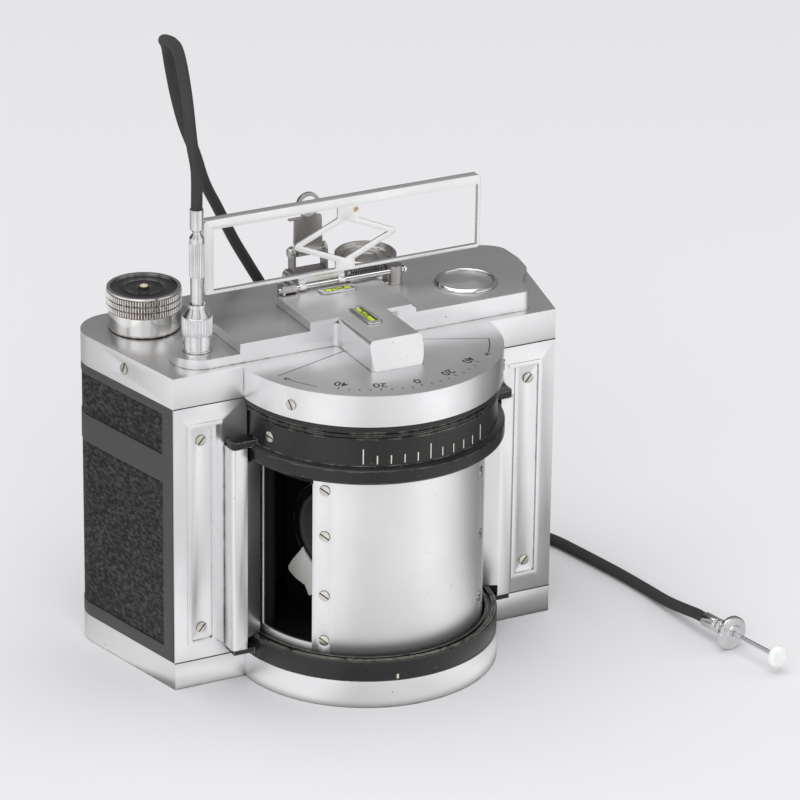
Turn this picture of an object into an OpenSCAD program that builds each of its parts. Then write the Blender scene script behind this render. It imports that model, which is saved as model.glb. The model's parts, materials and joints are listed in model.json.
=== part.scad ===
// Wide-angle roll-film camera with a swinging lens drum and a cable release.
// Millimetres, +Z up. The origin is under the middle of the camera, on the surface it stands on.
// The front, with the drum, faces -Y. Inside the modules, X = 0, Y = 0 is the drum's axis.

/* [Body] */
// Half of the body's width at its front plane
front_half_w = 75; // [74:0.5:80]
// Outward slant of each side, from front to back, in degrees
flare = 12.4; // [10:0.2:14]
// Distance from the drum's axis to the back face
back_d = 64; // [63.5:0.5:68]
// Radius of the two rear corners
corner_r = 14; // [11:0.5:15]
// Height of the base cover
base_h = 10.2; // [9.6:0.1:12]
// Height of the middle of the body, between the covers
body_h = 97.2; // [97:0.2:100]
// Height of the top cover
cover_h = 11.5; // [10:0.5:14]
// Wall of the two covers
cover_wall = 1.6; // [1.2:0.1:1.9]
// Thickness of the top cover's deck and of the base cover's floor
cover_skin = 2.2; // [1.8:0.1:2.8]
// Thickness of the front panels
panel_t = 1.2; // [1:0.1:1.6]
// Wall of the take-off back
back_wall = 2.2; // [1.8:0.1:2.6]
// Depth of the recess that holds the leather
leather_recess = 1; // [0.6:0.1:1.2]

/* [Drum] */
// Radius of the lens drum
drum_r = 42.3; // [41.9:0.1:42.5]
// Wall of the drum's shell
shell_t = 1.4; // [1:0.1:1.8]
// Running gap between the drum and what surrounds it
drum_gap = 1; // [0.8:0.1:1.3]
// Direction that the window faces at rest, in degrees from +X
window_deg = -158.6; // [-162:0.2:-157]
// Half of the window's angle
window_half = 16; // [14:0.5:17]
// Height of the window's lower edge
window_low = 20.5; // [19:0.5:22]
// Height of the window
window_h = 61.5; // [58:0.5:63]
// Height of the lens axis, and of the middle of the film
lens_z = 51.3; // [50.5:0.1:52]
// Height of the film gate's opening
frame_h = 50; // [46:0.5:54]

/* [Rings] */
// Wall of the black rings, outside the running gap
ring_wall = 3.1; // [2.6:0.1:3.1]
// How far the upper ring's lip stands past the ring's face
lip_out = 2.6; // [2:0.1:3]
// Height of the lip
lip_h = 5.7; // [4:0.1:7]
// Height of the upper ring, lip included
upper_ring_h = 21.6; // [20:0.2:23]
// Height of the lower ring
lower_ring_h = 7.8; // [6.5:0.1:8.5]

/* [Deck] */
// Height of the low decks above the top cover
low_deck_h = 7.2; // [6:0.2:8]
// Height of the middle platform above the top cover
platform_h = 10.5; // [10:0.1:12]
// Height of the tongue under the cable socket
tongue_h = 3.5; // [3:0.1:4.5]
// Length of the platform's nose over the drum housing
nose_l = 27.6; // [22:0.2:30]
// Radius of the winding knob's knurled rim
knob_r = 13.4; // [12.8:0.1:13.6]
// Radius of the round dial
dial_r = 11.2; // [9:0.1:11.6]
// Radius of the round plate on the right deck
badge_r = 11.5; // [9:0.1:12]

/* [Finder] */
// Width of the finder frame
finder_w = 109; // [100:0.5:109]
// Height of the finder frame
finder_h = 27.6; // [25:0.2:30]
// Height of the finder's hinge rod above the platform
rod_rise = 1.6; // [1.6:0.1:2.4]
// Width of the rear sight's leaf
leaf_w = 11.3; // [9:0.1:12]
// Height of the rear sight's leaf and eyelet above its pin
sight_h = 22.2; // [19:0.2:22.4]

/* [Cable release] */
// Diameter of the cable
cable_d = 4.1; // [3.6:0.1:4.4]
// Travel of the plunger
plunger_travel = 8; // [5:0.5:9]
// Radius of the finger disc, which lies on the floor
finger_r = 6.2; // [5.4:0.1:7]

/* [Fits] */
// Radial clearance of a running fit
fit = 0.05; // [0.03:0.01:0.08]
// Clearance between nested shells
nest = 0.1; // [0.05:0.01:0.2]
// Radius of the screw heads
screw_r = 1.9; // [1.6:0.1:2.1]

/* [Hidden] */

$fn = 64;
round_n = 12;

silver = [0.78, 0.78, 0.79];
black = [0.11, 0.11, 0.12];
steel = [0.62, 0.62, 0.63];
brass = [0.72, 0.6, 0.34];

// Heights of the body's levels
body_top = base_h + body_h;
cover_top = body_top + cover_h;
low_deck = cover_top + low_deck_h;
platform = cover_top + platform_h;
tongue_top = cover_top + tongue_h;

// Radii about the drum's axis
well_r = drum_r + drum_gap;
ring_face_r = well_r + ring_wall;
lip_r = ring_face_r + lip_out;
housing_r = lip_r - 0.8;
base_r = lip_r - 1.2;
gate_t = 3.3;
gate_r = well_r + gate_t;

// The drum's axis lies in front of the middle of the camera's depth
axis_y = (lip_r - back_d) / 2;

// Frame levels
frame_plate = 2;
frame_floor = lens_z - 35.3;
chamber_top = lens_z + 38.7;
chamber_roof = 3;
chamber_front = 12;
frame_half_w = front_half_w - back_wall / cos(flare) - 0.75;
frame_back = back_d - back_wall - 0.3;

// Drum levels
drum_low = base_h + drum_gap;
drum_top = body_top - 9.4;
drum_pivot_r = 4;
slit_half_deg = 1.6;

// Film spools
spool_x = 63.8;
spool_y = 47.4;
spool_flange_r = 12.6;
spool_core_r = 6;
spool_half_h = 32.9;
spool_pin_r = 2.4;
wind_shaft_r = 3;
roller_x = 47.7;
roller_y = 17.4;
roller_r = 4;

// Lens
lens_face_d = 17.6;
lens_ring_r = 19;
lens_barrel_r = 15.5;
lens_glass_r = 11;
lens_board_d = 8;
lens_board_half = 30;

// Guard columns beside the drum
guard_out = 55.8;
guard_front = 8;
guard_bar_w = 5.8;
upper_ring_low = body_top - upper_ring_h;
lower_ring_r = base_r - 0.2;
foot_plate_low = base_h + 1.7;
foot_plate_t = 2;

// Recessed strip in each front panel, and its screws
strip_mid = front_half_w - 10.5;
strip_half = 3.9;
strip_low = base_h + 7.5;
strip_high = body_top - 8.4;

// Deck outline
deck_front = 2;
deck_back = back_d - 4;
deck_crease = 32.4;
deck_back_h = 3.1;
platform_left = -21;
platform_right = 20.5;
nose_left = -10.3;
nose_right = 10;
nose_slope = 3.2;
nose_edge_r = 1.8;
deck_corner_r = 12;
platform_back = 29.2;
low_deck_left = -48;
socket_x = -59.5;
socket_y = 12.5;
tongue_r = 10;
dial_x = 25;
dial_y = 50.5;
dial_top = platform + 1.6;
dial_h = 4;
badge_x = 49.6;
badge_y = 19.6;

// Finder and rear sight
rod_y = 29.6;
rod_z = platform + rod_rise;
rod_r = 0.8;
finder_left = -48.9;
finder_low = rod_z + 3.5;
finder_sheet = 0.9;
rhomb_x = 6.1;
rhomb_z = finder_low + 11.9;
bracket_t = 1;
bracket_left = -4.6;
bracket_right = 10.1;
bracket_back = 56.2;
sight_y = 54;
sight_z = low_deck + 7.7;
sight_mid = (bracket_left + bracket_right) / 2 + 0.9;
sight_pin_r = 1;
ear_t = 0.9;
ear_gap = leaf_w + 0.6;

// Levels on the platform: x, y, length of the bezel, direction in degrees
LEVELS = [[-0.7, -0.5, 17.2, 90], [1.2, 25.4, 14, 0]];
level_rise = 0.6;
level_w = 5.6;
level_end = 2.1;
vial_r = 1.15;

// Cable release fittings
socket_r = 4.9;
socket_top = cover_top + 9.7;
nut_knurl_h = 6.5;
nut_cone_h = 4.4;
nut_top = socket_top + nut_knurl_h + nut_cone_h;
nut_r = 5.4;
sleeve_l = 10.1;
flute_l = 12.4;
neck_l = 12.4;
ferrule_top = nut_top + sleeve_l + flute_l + neck_l;
pin_r = 1.2;
end_yaw = 11;
end_start = [116.4, -51.2];
end_ferrule_l = 10.2;
barrel_l = 5.6;
rod_l = 19.8;
button_t = 4.3;
button_r = 4;

// Route of the cable, in the part's own frame, from the upper ferrule to the end ferrule
CABLE = [[-59.5, 5, ferrule_top], [-59.5, 5, 188], [-60, 7.5, 197.5], [-58.5, 15.5, 214],
    [-54, 32, 223], [-51, 49, 220.5], [-45.5, 59, 214], [-42, 64, 204.5], [-39.5, 65, 193.5],
    [-36.5, 65, 182], [-31.5, 66.5, 170], [-27, 68, 157.5], [-20, 71.5, 145], [-13, 73.5, 131.5],
    [-5, 76.5, 118.5], [3, 80, 105.5], [9, 83, 91.5], [13.5, 86, 76.5], [18, 89, 61],
    [22.5, 91.5, 45], [28, 93.5, 29], [36, 94.5, 14.5], [46, 94, 5.5], [57, 91.5, 2.1],
    [68.5, 86, 2.1], [79.5, 78, 2.1], [89, 67.5, 2.1], [97.5, 54.5, 2.1], [104, 40.5, 2.1],
    [107, 28, 2.1], [109.5, 15.5, 2.1], [112, 2, 2.1], [114, -12, 2.1], [115, -26, 2.8],
    [115.4, -38.5, 4.8], [115.8, -46.5, finger_r], [end_start.x, end_start.y, finger_r]];

// Geometry helpers

function unit(v) = v / norm(v);

// Corner b between its neighbours a and c, rounded to radius r
function corner_arc(a, b, c, r, n) =
    r <= 0 ? [b] :
    let (u = unit(a - b), v = unit(c - b))
    let (half = acos(u * v) / 2, o = b + unit(u + v) * r / sin(half))
    let (s = b + u * r / tan(half) - o, e = b + v * r / tan(half) - o)
    let (a0 = atan2(s.y, s.x), raw = atan2(e.y, e.x) - a0)
    let (sweep = raw > 180 ? raw - 360 : raw < -180 ? raw + 360 : raw)
    [for (i = [0:n]) o + r * [cos(a0 + sweep * i / n), sin(a0 + sweep * i / n)]];

// Outline with every corner rounded: r is one radius, or a list with one for each corner
function rounded(p, r, n = round_n) =
    [for (i = [0:len(p) - 1])
        each corner_arc(p[(i + len(p) - 1) % len(p)], p[i], p[(i + 1) % len(p)],
            is_list(r) ? r[i] : r, n)];

function side_x(y) = front_half_w + tan(flare) * (y + panel_t);

// Plan of the body from the line y0 to the back, drawn in by g
function plan(g, y0 = -panel_t) =
    let (x0 = side_x(y0) - g / cos(flare), y1 = back_d - g)
    let (x1 = side_x(y1) - g / cos(flare))
    rounded([[-x0, y0], [x0, y0], [x1, y1], [-x1, y1]], [0, 0, corner_r - g, corner_r - g], 18);

module at_axis() {
    translate([0, axis_y, 0]) children();
}

module block(lo, hi) {
    translate(lo) cube(hi - lo);
}

module tube(r_out, r_in, z0, z1) {
    difference() {
        translate([0, 0, z0]) cylinder(r = r_out, h = z1 - z0, $fn = 180);
        translate([0, 0, z0 - 1]) cylinder(r = r_in, h = z1 - z0 + 2, $fn = 180);
    }
}

module plan_prism(g, z0, z1, y0 = -panel_t) {
    translate([0, 0, z0]) linear_extrude(z1 - z0) polygon(plan(g, y0));
}

// Outline in X and Z, given a thickness from y0 back to y1
module in_xz(y0, y1) {
    translate([0, y1, 0]) rotate([90, 0, 0]) linear_extrude(y1 - y0) children();
}

// Outline in Y and Z, given a thickness from x0 to x1
module in_yz(x0, x1) {
    translate([x0, 0, 0]) rotate([90, 0, 90]) linear_extrude(x1 - x0) children();
}

module facing_window() {
    rotate([0, 0, window_deg]) children();
}

module along_lens() {
    facing_window() translate([0, 0, lens_z]) rotate([0, 90, 0]) children();
}

module both_sides() {
    children();
    mirror([1, 0, 0]) children();
}

// Slotted screw: head on the plane z = 0, shank down the -Z axis
module screw(slot_deg = 0, head_h = 0.45, shank = 3) {
    difference() {
        union() {
            translate([0, 0, -0.5]) cylinder(r = screw_r, h = 0.5 + head_h, $fn = 32);
            translate([0, 0, -shank]) cylinder(r = screw_r * 0.5, h = shank, $fn = 24);
        }
        rotate([0, 0, slot_deg]) block([-screw_r - 1, -0.28, head_h - 0.45], [screw_r + 1, 0.28, 1]);
    }
}

module screw_hole(shank = 3) {
    translate([0, 0, -0.5]) cylinder(r = screw_r + fit, h = 3, $fn = 32);
    translate([0, 0, -shank - 0.2]) cylinder(r = screw_r * 0.5 + fit, h = shank, $fn = 24);
}

// Places of the screws: each module sets its children, drawn about Z, at every place

module at_cover_screws() {
    both_sides() translate([side_x(26.5), 26.5, cover_top - 5.3]) rotate([0, 0, -flare])
        rotate([0, 90, 0]) children();
    for (a = [-149.3, -30.7])
        rotate([0, 0, a]) translate([housing_r - 0.05, 0, cover_top - 6.5]) rotate([0, 90, 0]) children();
}

module at_panel_screws() {
    for (x = [-strip_mid, strip_mid], z = [strip_low + 4.6, strip_high - 5])
        translate([x, 0.5 - panel_t, z]) rotate([90, 0, 0]) children();
}

module at_ring_screws() {
    for (a = [-162.5, -17.5])
        rotate([0, 0, a]) translate([ring_face_r - 0.05, 0, upper_ring_low + 11.1])
            rotate([0, 90, 0]) children();
}

post_deg = [22.3, 116.4, -116.4, -22.3];
post_r = 2.6;
post_d = drum_r - shell_t - post_r - 0.3;

module at_drum_screws() {
    for (a = post_deg, f = abs(a) < 90 ? [0.03, 0.316, 0.692, 0.98] : [0.1, 0.5, 0.9])
        facing_window() rotate([0, 0, a])
            translate([drum_r - 0.05, 0, window_low + f * (window_h - 1)]) rotate([0, 90, 0]) children();
}

// Fixed body

module main_frame() {
    roof_top = body_top + frame_plate;
    plate_front = cover_wall + nest - panel_t;
    color(black) at_axis() difference() {
        union() {
            block([-frame_half_w, 0, base_h], [frame_half_w, frame_back, body_top]);
            plan_prism(cover_wall + nest, base_h - frame_plate, base_h, plate_front);
            plan_prism(cover_wall + nest, body_top, roof_top, plate_front);
            translate([0, 0, base_h - frame_plate])
                cylinder(r = base_r - cover_wall - nest, h = frame_plate, $fn = 180);
            translate([0, 0, body_top])
                cylinder(r = housing_r - cover_wall - nest, h = frame_plate, $fn = 180);
        }
        translate([0, 0, base_h]) cylinder(r = well_r, h = drum_top + 0.5 - base_h, $fn = 180);
        film_chamber();
        gate_opening();
        // Space for the winding and drum gears, above the film chamber
        block([-frame_half_w + 2.5, 2.5, chamber_top + chamber_roof],
            [frame_half_w - 2.5, frame_back - 2.5, body_top]);
        // Holes of the drum's two bushes
        translate([0, 0, base_h - frame_plate - 1]) cylinder(r = bush_r + nest / 2, h = frame_plate + 2);
        translate([0, 0, drum_top]) cylinder(r = bush_r + nest / 2, h = roof_top - drum_top + 1);
        both_sides() {
            translate([spool_x, spool_y, 0]) {
                translate([0, 0, base_h - frame_plate - 1])
                    cylinder(r = spool_pin_r + nest / 2, h = frame_floor - base_h + frame_plate + 2);
                translate([0, 0, chamber_top - 1]) cylinder(r = wind_shaft_r + fit, h = 30);
            }
            translate([roller_x, roller_y, frame_floor - 2]) cylinder(r = 1.5 + fit, h = 100 - frame_floor);
            translate([lock_x, lock_y, 0]) cylinder(r = 2.5 + fit, h = base_h + 4);
        }
        translate([socket_x, socket_y, body_top - 1]) cylinder(r = pin_r + 0.6, h = frame_plate + 2);
        at_panel_screws() screw_hole(4);
    }
}

bush_r = 6;
lock_x = 32;
lock_y = 50;

// Film chamber: everything behind the film gate, open to the sides and the back
module film_chamber() {
    difference() {
        block([-100, chamber_front, frame_floor], [100, 100, chamber_top]);
        cylinder(r = gate_r, h = 200, $fn = 180);
    }
}

// Opening of the curved film gate
module gate_opening() {
    open_half = 66;
    r = 80;
    intersection() {
        tube(gate_r + 2, well_r - 2, lens_z - frame_h / 2, lens_z + frame_h / 2);
        linear_extrude(200) polygon([[0, 0], [r * sin(open_half), r * cos(open_half)],
            [r, 2 * r], [-r, 2 * r], [-r * sin(open_half), r * cos(open_half)]]);
    }
}

module top_cover() {
    color(silver) at_axis() difference() {
        union() {
            plan_prism(0, body_top, cover_top);
            translate([0, 0, body_top]) cylinder(r = housing_r, h = cover_h, $fn = 180);
        }
        plan_prism(cover_wall, body_top - 1, cover_top - cover_skin, -panel_t + cover_wall);
        translate([0, 0, body_top - 1])
            cylinder(r = housing_r - cover_wall, h = cover_h - cover_skin + 1, $fn = 180);
        translate([-spool_x, spool_y, body_top]) cylinder(r = wind_shaft_r + fit, h = 20);
        translate([socket_x, socket_y, body_top]) cylinder(r = pin_r + 0.6, h = 20);
        at_cover_screws() screw_hole();
    }
}

// Outline of the right deck: straight front, swept right end, rounded rear corner
function right_end(a, b, c, d, n = 10) =
    [for (i = [0:n]) let (t = i / n, s = 1 - t)
        s * s * s * a + 3 * s * s * t * b + 3 * s * t * t * c + t * t * t * d];

function low_deck_plan() =
    let (x0 = front_half_w - 7.8, bulge = [front_half_w + 1.2, deck_front + 21.5])
    concat(
        corner_arc([0, deck_front], [x0, deck_front], [x0 + 0.1, deck_front + 18], 3.7, 6),
        right_end([x0 + 0.1, deck_front + 5], [x0 + 0.4, deck_front + 14],
            [bulge.x - 2.2, deck_front + 14.5], bulge),
        corner_arc(bulge, [front_half_w + 7.5, deck_back], [0, deck_back], deck_corner_r, 10),
        [[low_deck_left, deck_back], [low_deck_left, deck_front]]);

// Nose of the platform: sloped front, rounded long edges, and a fillet at each side of its root
module nose() {
    y0 = deck_front - nose_l;
    y1 = deck_front + 0.5;
    intersection() {
        in_xz(y0, y1) polygon(rounded([[nose_left, cover_top], [nose_right, cover_top],
            [nose_right, platform], [nose_left, platform]], [0, 0, nose_edge_r, nose_edge_r], 6));
        in_yz(nose_left, nose_right) polygon([[y0, cover_top], [y1, cover_top], [y1, platform],
            [y0 + nose_slope, platform]]);
        translate([0, 0, cover_top]) linear_extrude(platform_h)
            polygon(rounded([[nose_left, y1], [nose_left, y0], [nose_right, y0], [nose_right, y1]],
                [0, 2, 2, 0], 6));
    }
    for (p = [[nose_left, -1, 2.5], [nose_right, 1, 4]])
        translate([p[0], deck_front, cover_top]) scale([p[1], -1, 1])
            linear_extrude(platform_h - nose_edge_r) difference() {
                translate([-0.5, -0.5]) square(p[2] + 0.5);
                translate([p[2], p[2]]) circle(r = p[2], $fn = 32);
            }
}

module top_housing() {
    slope = [[deck_front - 5, 0], [deck_front - 5, low_deck_h], [deck_crease, low_deck_h],
        [deck_back, deck_back_h], [deck_back + 5, deck_back_h], [deck_back + 5, 0]];
    color(silver) at_axis() difference() {
        union() {
            // Tongue under the cable socket
            translate([0, 0, cover_top]) linear_extrude(tongue_h)
                polygon(rounded([[low_deck_left + 1, deck_front], [-88.1, deck_front], [-49, 33],
                    [low_deck_left + 1, 33]], [0, tongue_r, 0, 0]));
            // Low decks, which slope down behind the crease
            intersection() {
                translate([0, 0, cover_top]) linear_extrude(20) polygon(low_deck_plan());
                translate([0, 0, cover_top]) in_yz(-100, 100) polygon(slope);
            }
            block([platform_left, deck_front, cover_top], [platform_right, platform_back, platform]);
            nose();
            // Pedestal that carries the bracket of the finder and the rear sight
            block([bracket_left - 1, platform_back - 1, cover_top],
                [bracket_right + 1, bracket_back + 1.2, low_deck]);
            // Post of the round dial
            translate([dial_x, dial_y, cover_top])
                cylinder(r = dial_r - 0.9, h = dial_top - dial_h - cover_top - 0.2, $fn = 96);
        }
        translate([dial_x, dial_y, dial_top - 10]) cylinder(r = 1.9 + fit, h = 20);
        translate([dial_x, dial_y, dial_top - dial_h - 0.2]) cylinder(r = dial_r + 0.5, h = 20, $fn = 96);
        for (p = LEVELS)
            translate([p.x, p.y, platform]) rotate([0, 0, p[3]])
                block([-vial_half(p), -1.4, -1.6], [vial_half(p), 1.4, 1]);
        translate([socket_x, socket_y, cover_top - 1]) cylinder(r = pin_r + 0.6, h = 20);
    }
}

module bottom_cover() {
    color(silver) at_axis() difference() {
        union() {
            plan_prism(0, 0, base_h);
            cylinder(r = base_r, h = base_h, $fn = 180);
        }
        difference() {
            union() {
                plan_prism(cover_wall, cover_skin, base_h + 1, -panel_t + cover_wall);
                translate([0, 0, cover_skin]) cylinder(r = base_r - cover_wall, h = base_h, $fn = 180);
            }
            // Bosses that carry the frame's floor plate
            both_sides() for (p = [[66, 8], [50, 55]])
                translate([p.x, p.y, 0]) cylinder(r = 4, h = base_h - frame_plate - nest);
        }
        translate([0, -axis_y, -1]) cylinder(r = bush_out_r + fit, h = base_h);
        both_sides() translate([lock_x, lock_y, -1]) cylinder(r = lock_r + 0.2, h = cover_skin + 2);
    }
}

bush_out_r = 7;
lock_r = 8;

// Half rings in front of the body: r2 is the radius that also reaches the frame's front
module front_half(r2) {
    intersection() {
        children();
        union() {
            block([-60, -60, 0], [60, -panel_t, 200]);
            intersection() {
                cylinder(r = r2, h = 200, $fn = 180);
                block([-60, -60, 0], [60, 0, 200]);
            }
        }
    }
}

module upper_ring() {
    flange_r = ring_face_r + 1;
    profile = [[well_r, upper_ring_low], [lip_r - 0.8, upper_ring_low], [lip_r, upper_ring_low + 0.8],
        [lip_r, upper_ring_low + lip_h - 0.6], [lip_r - 0.8, upper_ring_low + lip_h],
        [ring_face_r, upper_ring_low + lip_h + 0.5], [ring_face_r, body_top - 4.6],
        [flange_r - 0.4, body_top - 4.4], [flange_r - 0.4, body_top - 3.4], [ring_face_r, body_top - 3.2],
        [ring_face_r, body_top - 2.7], [flange_r, body_top - 2.4], [flange_r, body_top], [well_r, body_top]];
    ear_low = upper_ring_low + lip_h - 0.6;
    ear_in = ring_face_r - 3;
    ear_out = guard_out - 0.5;
    ear_front = 0.8 - guard_front;
    color(black) at_axis() difference() {
        union() {
            front_half(ring_face_r) rotate_extrude($fn = 180) polygon(profile);
            both_sides() difference() {
                translate([0, 0, ear_low]) linear_extrude(2.4)
                    polygon(rounded([[ear_in, -panel_t], [ear_in, ear_front], [ear_out, ear_front],
                        [ear_out, -panel_t]], [0, 0, 2, 0], 6));
                translate([0, 0, ear_low - 1]) cylinder(r = ring_face_r - 0.5, h = 7, $fn = 180);
            }
        }
        at_ring_screws() screw_hole();
        // Seats of the guard columns
        both_sides() block([guard_out - guard_bar_w - 0.1, -20, 0], [guard_out + 2, 20, ear_low + 0.1]);
    }
}

module lower_ring() {
    top = base_h + lower_ring_h;
    r = lower_ring_r;
    profile = [[well_r, base_h], [r, base_h], [r, top - 0.4], [r - 0.4, top], [r - 2, top],
        [r - 2, top - 1.5], [well_r + 0.9, top - 1.5], [well_r + 0.9, top], [well_r, top]];
    color(black) at_axis() {
        front_half(ring_face_r) rotate_extrude($fn = 180) polygon(profile);
        both_sides() difference() {
            block([ring_face_r - 3, 0.4 - guard_front, foot_plate_low],
                [guard_out - 0.8, -panel_t, foot_plate_low + foot_plate_t]);
            translate([0, 0, base_h]) cylinder(r = r - 0.8, h = 5, $fn = 180);
        }
    }
}

// Right front panel, with a raised rim round its strip
module panel(side) {
    inner = ring_face_r + 0.6;
    rim_w = 1.7;
    lo = strip_low;
    hi = strip_high;
    color(silver) at_axis() scale([side, 1, 1]) difference() {
        union() {
            in_xz(-panel_t, 0) polygon([[inner, base_h], [side_x(-panel_t), base_h],
                [side_x(-panel_t), body_top], [inner, body_top]]);
            in_xz(-panel_t - 0.45, -panel_t) difference() {
                polygon(rounded([[strip_mid - strip_half - rim_w, lo - rim_w],
                    [strip_mid + strip_half + rim_w, lo - rim_w],
                    [strip_mid + strip_half + rim_w, hi + rim_w],
                    [strip_mid - strip_half - rim_w - 2.6, hi + rim_w],
                    [strip_mid - strip_half - rim_w - 2.6, hi + 0.3],
                    [strip_mid - strip_half - rim_w, hi + 0.3]], [0.4, 0.4, 0.8, 0.5, 0.5, 0], 4));
                polygon(rounded([[strip_mid - strip_half, lo], [strip_mid + strip_half, lo],
                    [strip_mid + strip_half, hi], [strip_mid - strip_half, hi]],
                    [0.4, 0.4, 0.4, 1.4], 4));
            }
        }
        in_xz(-panel_t - 1, 0.5 - panel_t) polygon(rounded([[strip_mid - strip_half, lo],
            [strip_mid + strip_half, lo], [strip_mid + strip_half, hi],
            [strip_mid - strip_half, hi]], [0.4, 0.4, 0.4, 1.4], 4));
        scale([side, 1, 1]) at_panel_screws() screw_hole(4);
    }
}

module front_panel_left() {
    panel(-1);
}

module front_panel_right() {
    panel(1);
}

// Guard column beside the drum: outer bar, and an inner wedge between the two rings
module guard(side) {
    bar_low = foot_plate_low + foot_plate_t;
    bar_high = upper_ring_low + lip_h - 0.5;
    bar_in = guard_out - guard_bar_w;
    color(silver) at_axis() scale([side, 1, 1]) {
        difference() {
            translate([0, 0, bar_low]) linear_extrude(bar_high - bar_low)
                polygon(rounded([[bar_in, -panel_t], [bar_in, -guard_front],
                    [guard_out, -guard_front], [guard_out, -panel_t]], [0, 0, 1.4, 0], 6));
            cylinder(r = lower_ring_r + nest, h = base_h + lower_ring_h + nest, $fn = 180);
        }
        translate([0, 0, base_h + lower_ring_h + 0.1])
            linear_extrude(upper_ring_low - base_h - lower_ring_h - 0.2)
            polygon([[bar_in, -panel_t], [bar_in, -guard_front], [well_r + 0.5, -5.2],
                [well_r + 0.5, -panel_t]]);
    }
}

module guard_left() {
    guard(-1);
}

module guard_right() {
    guard(1);
}

module cover_screws() {
    color(steel) at_axis() at_cover_screws() screw(25);
}

module panel_screws() {
    color(steel) at_axis() at_panel_screws() screw(50, 0.45, 4);
}

module ring_screws() {
    color(steel) at_axis() at_ring_screws() screw(80);
}

// Half the length of the opening over a level's vial
function vial_half(p) = p[2] / 2 - level_end;

module level_bezels() {
    color(silver) at_axis() for (p = LEVELS)
        translate([p.x, p.y, platform]) rotate([0, 0, p[3]]) difference() {
            linear_extrude(level_rise)
                polygon(rounded([[-p[2] / 2, -level_w / 2], [p[2] / 2, -level_w / 2],
                    [p[2] / 2, level_w / 2], [-p[2] / 2, level_w / 2]], 1.8, 5));
            block([-vial_half(p), -1.3, -1], [vial_half(p), 1.3, 2]);
        }
}

module level_vials() {
    color([0.75, 0.85, 0.2]) at_axis() for (p = LEVELS)
        translate([p.x, p.y, platform - 0.35]) rotate([0, 0, p[3]])
            translate([0.2 - vial_half(p), 0, 0]) rotate([0, 90, 0])
                cylinder(r = vial_r, h = 2 * vial_half(p) - 0.4, $fn = 32);
}

module badge_rim() {
    color(silver) at_axis() translate([badge_x, badge_y, low_deck]) rotate_extrude($fn = 96)
        polygon([[badge_r - 1.9, 0], [badge_r, 0], [badge_r, 0.5], [badge_r - 0.9, 1.3],
            [badge_r - 1.5, 1.3], [badge_r - 1.9, 0.9]]);
}

module badge_plate() {
    color(steel) at_axis() translate([badge_x, badge_y, low_deck])
        cylinder(r = badge_r - 1.9 - fit, h = 0.6, $fn = 96);
}

// Bracket behind the platform: base plate, two hinge posts and the ears of the rear sight
module hinge_bracket() {
    post_x = rhomb_x + 20.3;
    ear_x = rhomb_x - 24.5;
    color(steel) at_axis() difference() {
        union() {
            block([bracket_left, platform_back + 0.3, low_deck],
                [bracket_right, bracket_back, low_deck + bracket_t]);
            block([ear_x - 0.6, platform_back + 0.3, low_deck],
                [post_x, platform_back + 3.4, low_deck + bracket_t]);
            // Right post, and the two blocks that hold the spring's ends
            translate([post_x, rod_y + 0.6, low_deck])
                cylinder(r = 2.65, h = rod_z - low_deck + 2, $fn = 48);
            block([spring_end - 0.3, rod_y + 0.2, low_deck], [post_x, rod_y + 4.4, rod_z + 1.9]);
            block([spring_x - 0.7, rod_y + 1.4, low_deck], [spring_x + 0.3, rod_y + 4.2, rod_z + 1.9]);
            // Left ear with its collar
            in_yz(ear_x - 0.6, ear_x + 0.5)
                polygon([[platform_back + 0.3, low_deck], [platform_back + 3.4, low_deck],
                    [platform_back + 3.4, rod_z + 1], [rod_y + 1.6, rod_z + 1.9],
                    [rod_y - 1.4, rod_z + 1.9], [rod_y - 1.7, rod_z + 1], [rod_y - 1.7, platform + 0.2],
                    [platform_back + 0.3, platform + 0.2]]);
            translate([ear_x + 0.5, rod_y, rod_z]) rotate([0, 90, 0]) cylinder(r = 1.6, h = 4.6, $fn = 32);
            // Ears of the rear sight
            for (x = [sight_mid - ear_gap / 2 - ear_t, sight_mid + ear_gap / 2])
                in_yz(x, x + ear_t) polygon(rounded([[sight_y - 2.6, low_deck],
                    [sight_y + 2.1, low_deck], [sight_y + 2.4, sight_z + 2.4],
                    [sight_y - 2.4, sight_z + 2.4]], [0, 0, 2.3, 2.3], 8));
        }
        translate([ear_x - 5, rod_y, rod_z]) rotate([0, 90, 0]) cylinder(r = rod_r, h = 60, $fn = 32);
        translate([sight_mid - 20, sight_y, sight_z]) rotate([0, 90, 0])
            cylinder(r = sight_pin_r, h = 40, $fn = 32);
    }
}

module hinge_rod() {
    color(steel) at_axis() translate([rhomb_x - 26, rod_y, rod_z]) rotate([0, 90, 0]) {
        cylinder(r = rod_r, h = 50.2, $fn = 32);
        translate([0, 0, 49.4]) cylinder(r = 1.3, h = 0.9, $fn = 32);
    }
}

// Coil spring behind the rod: turns about X, each turn with eight rings of six sides
coil_turns = 15;
coil_pitch = 1;
coil_wire = 0.45;
coil_r = 1.25;
coil_steps = 8;
spring_end = rhomb_x + 17.7;
spring_x = spring_end - coil_turns * coil_pitch;

function coil_point(i) = [i * coil_pitch / coil_steps, coil_r * cos(i * 360 / coil_steps),
    coil_r * sin(i * 360 / coil_steps)];

function coil_gap() = min([for (i = [0:coil_steps - 1])
    norm(coil_point(i + coil_steps) - coil_point(i))]) - coil_wire;

module hinge_spring() {
    last = coil_turns * coil_steps;
    centre = [for (i = [0:last]) coil_point(i)];
    color(black) at_axis() translate([spring_x, rod_y + 2.8, rod_z + 0.4])
        sweep(centre, coil_wire / 2, 6);
}

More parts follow.
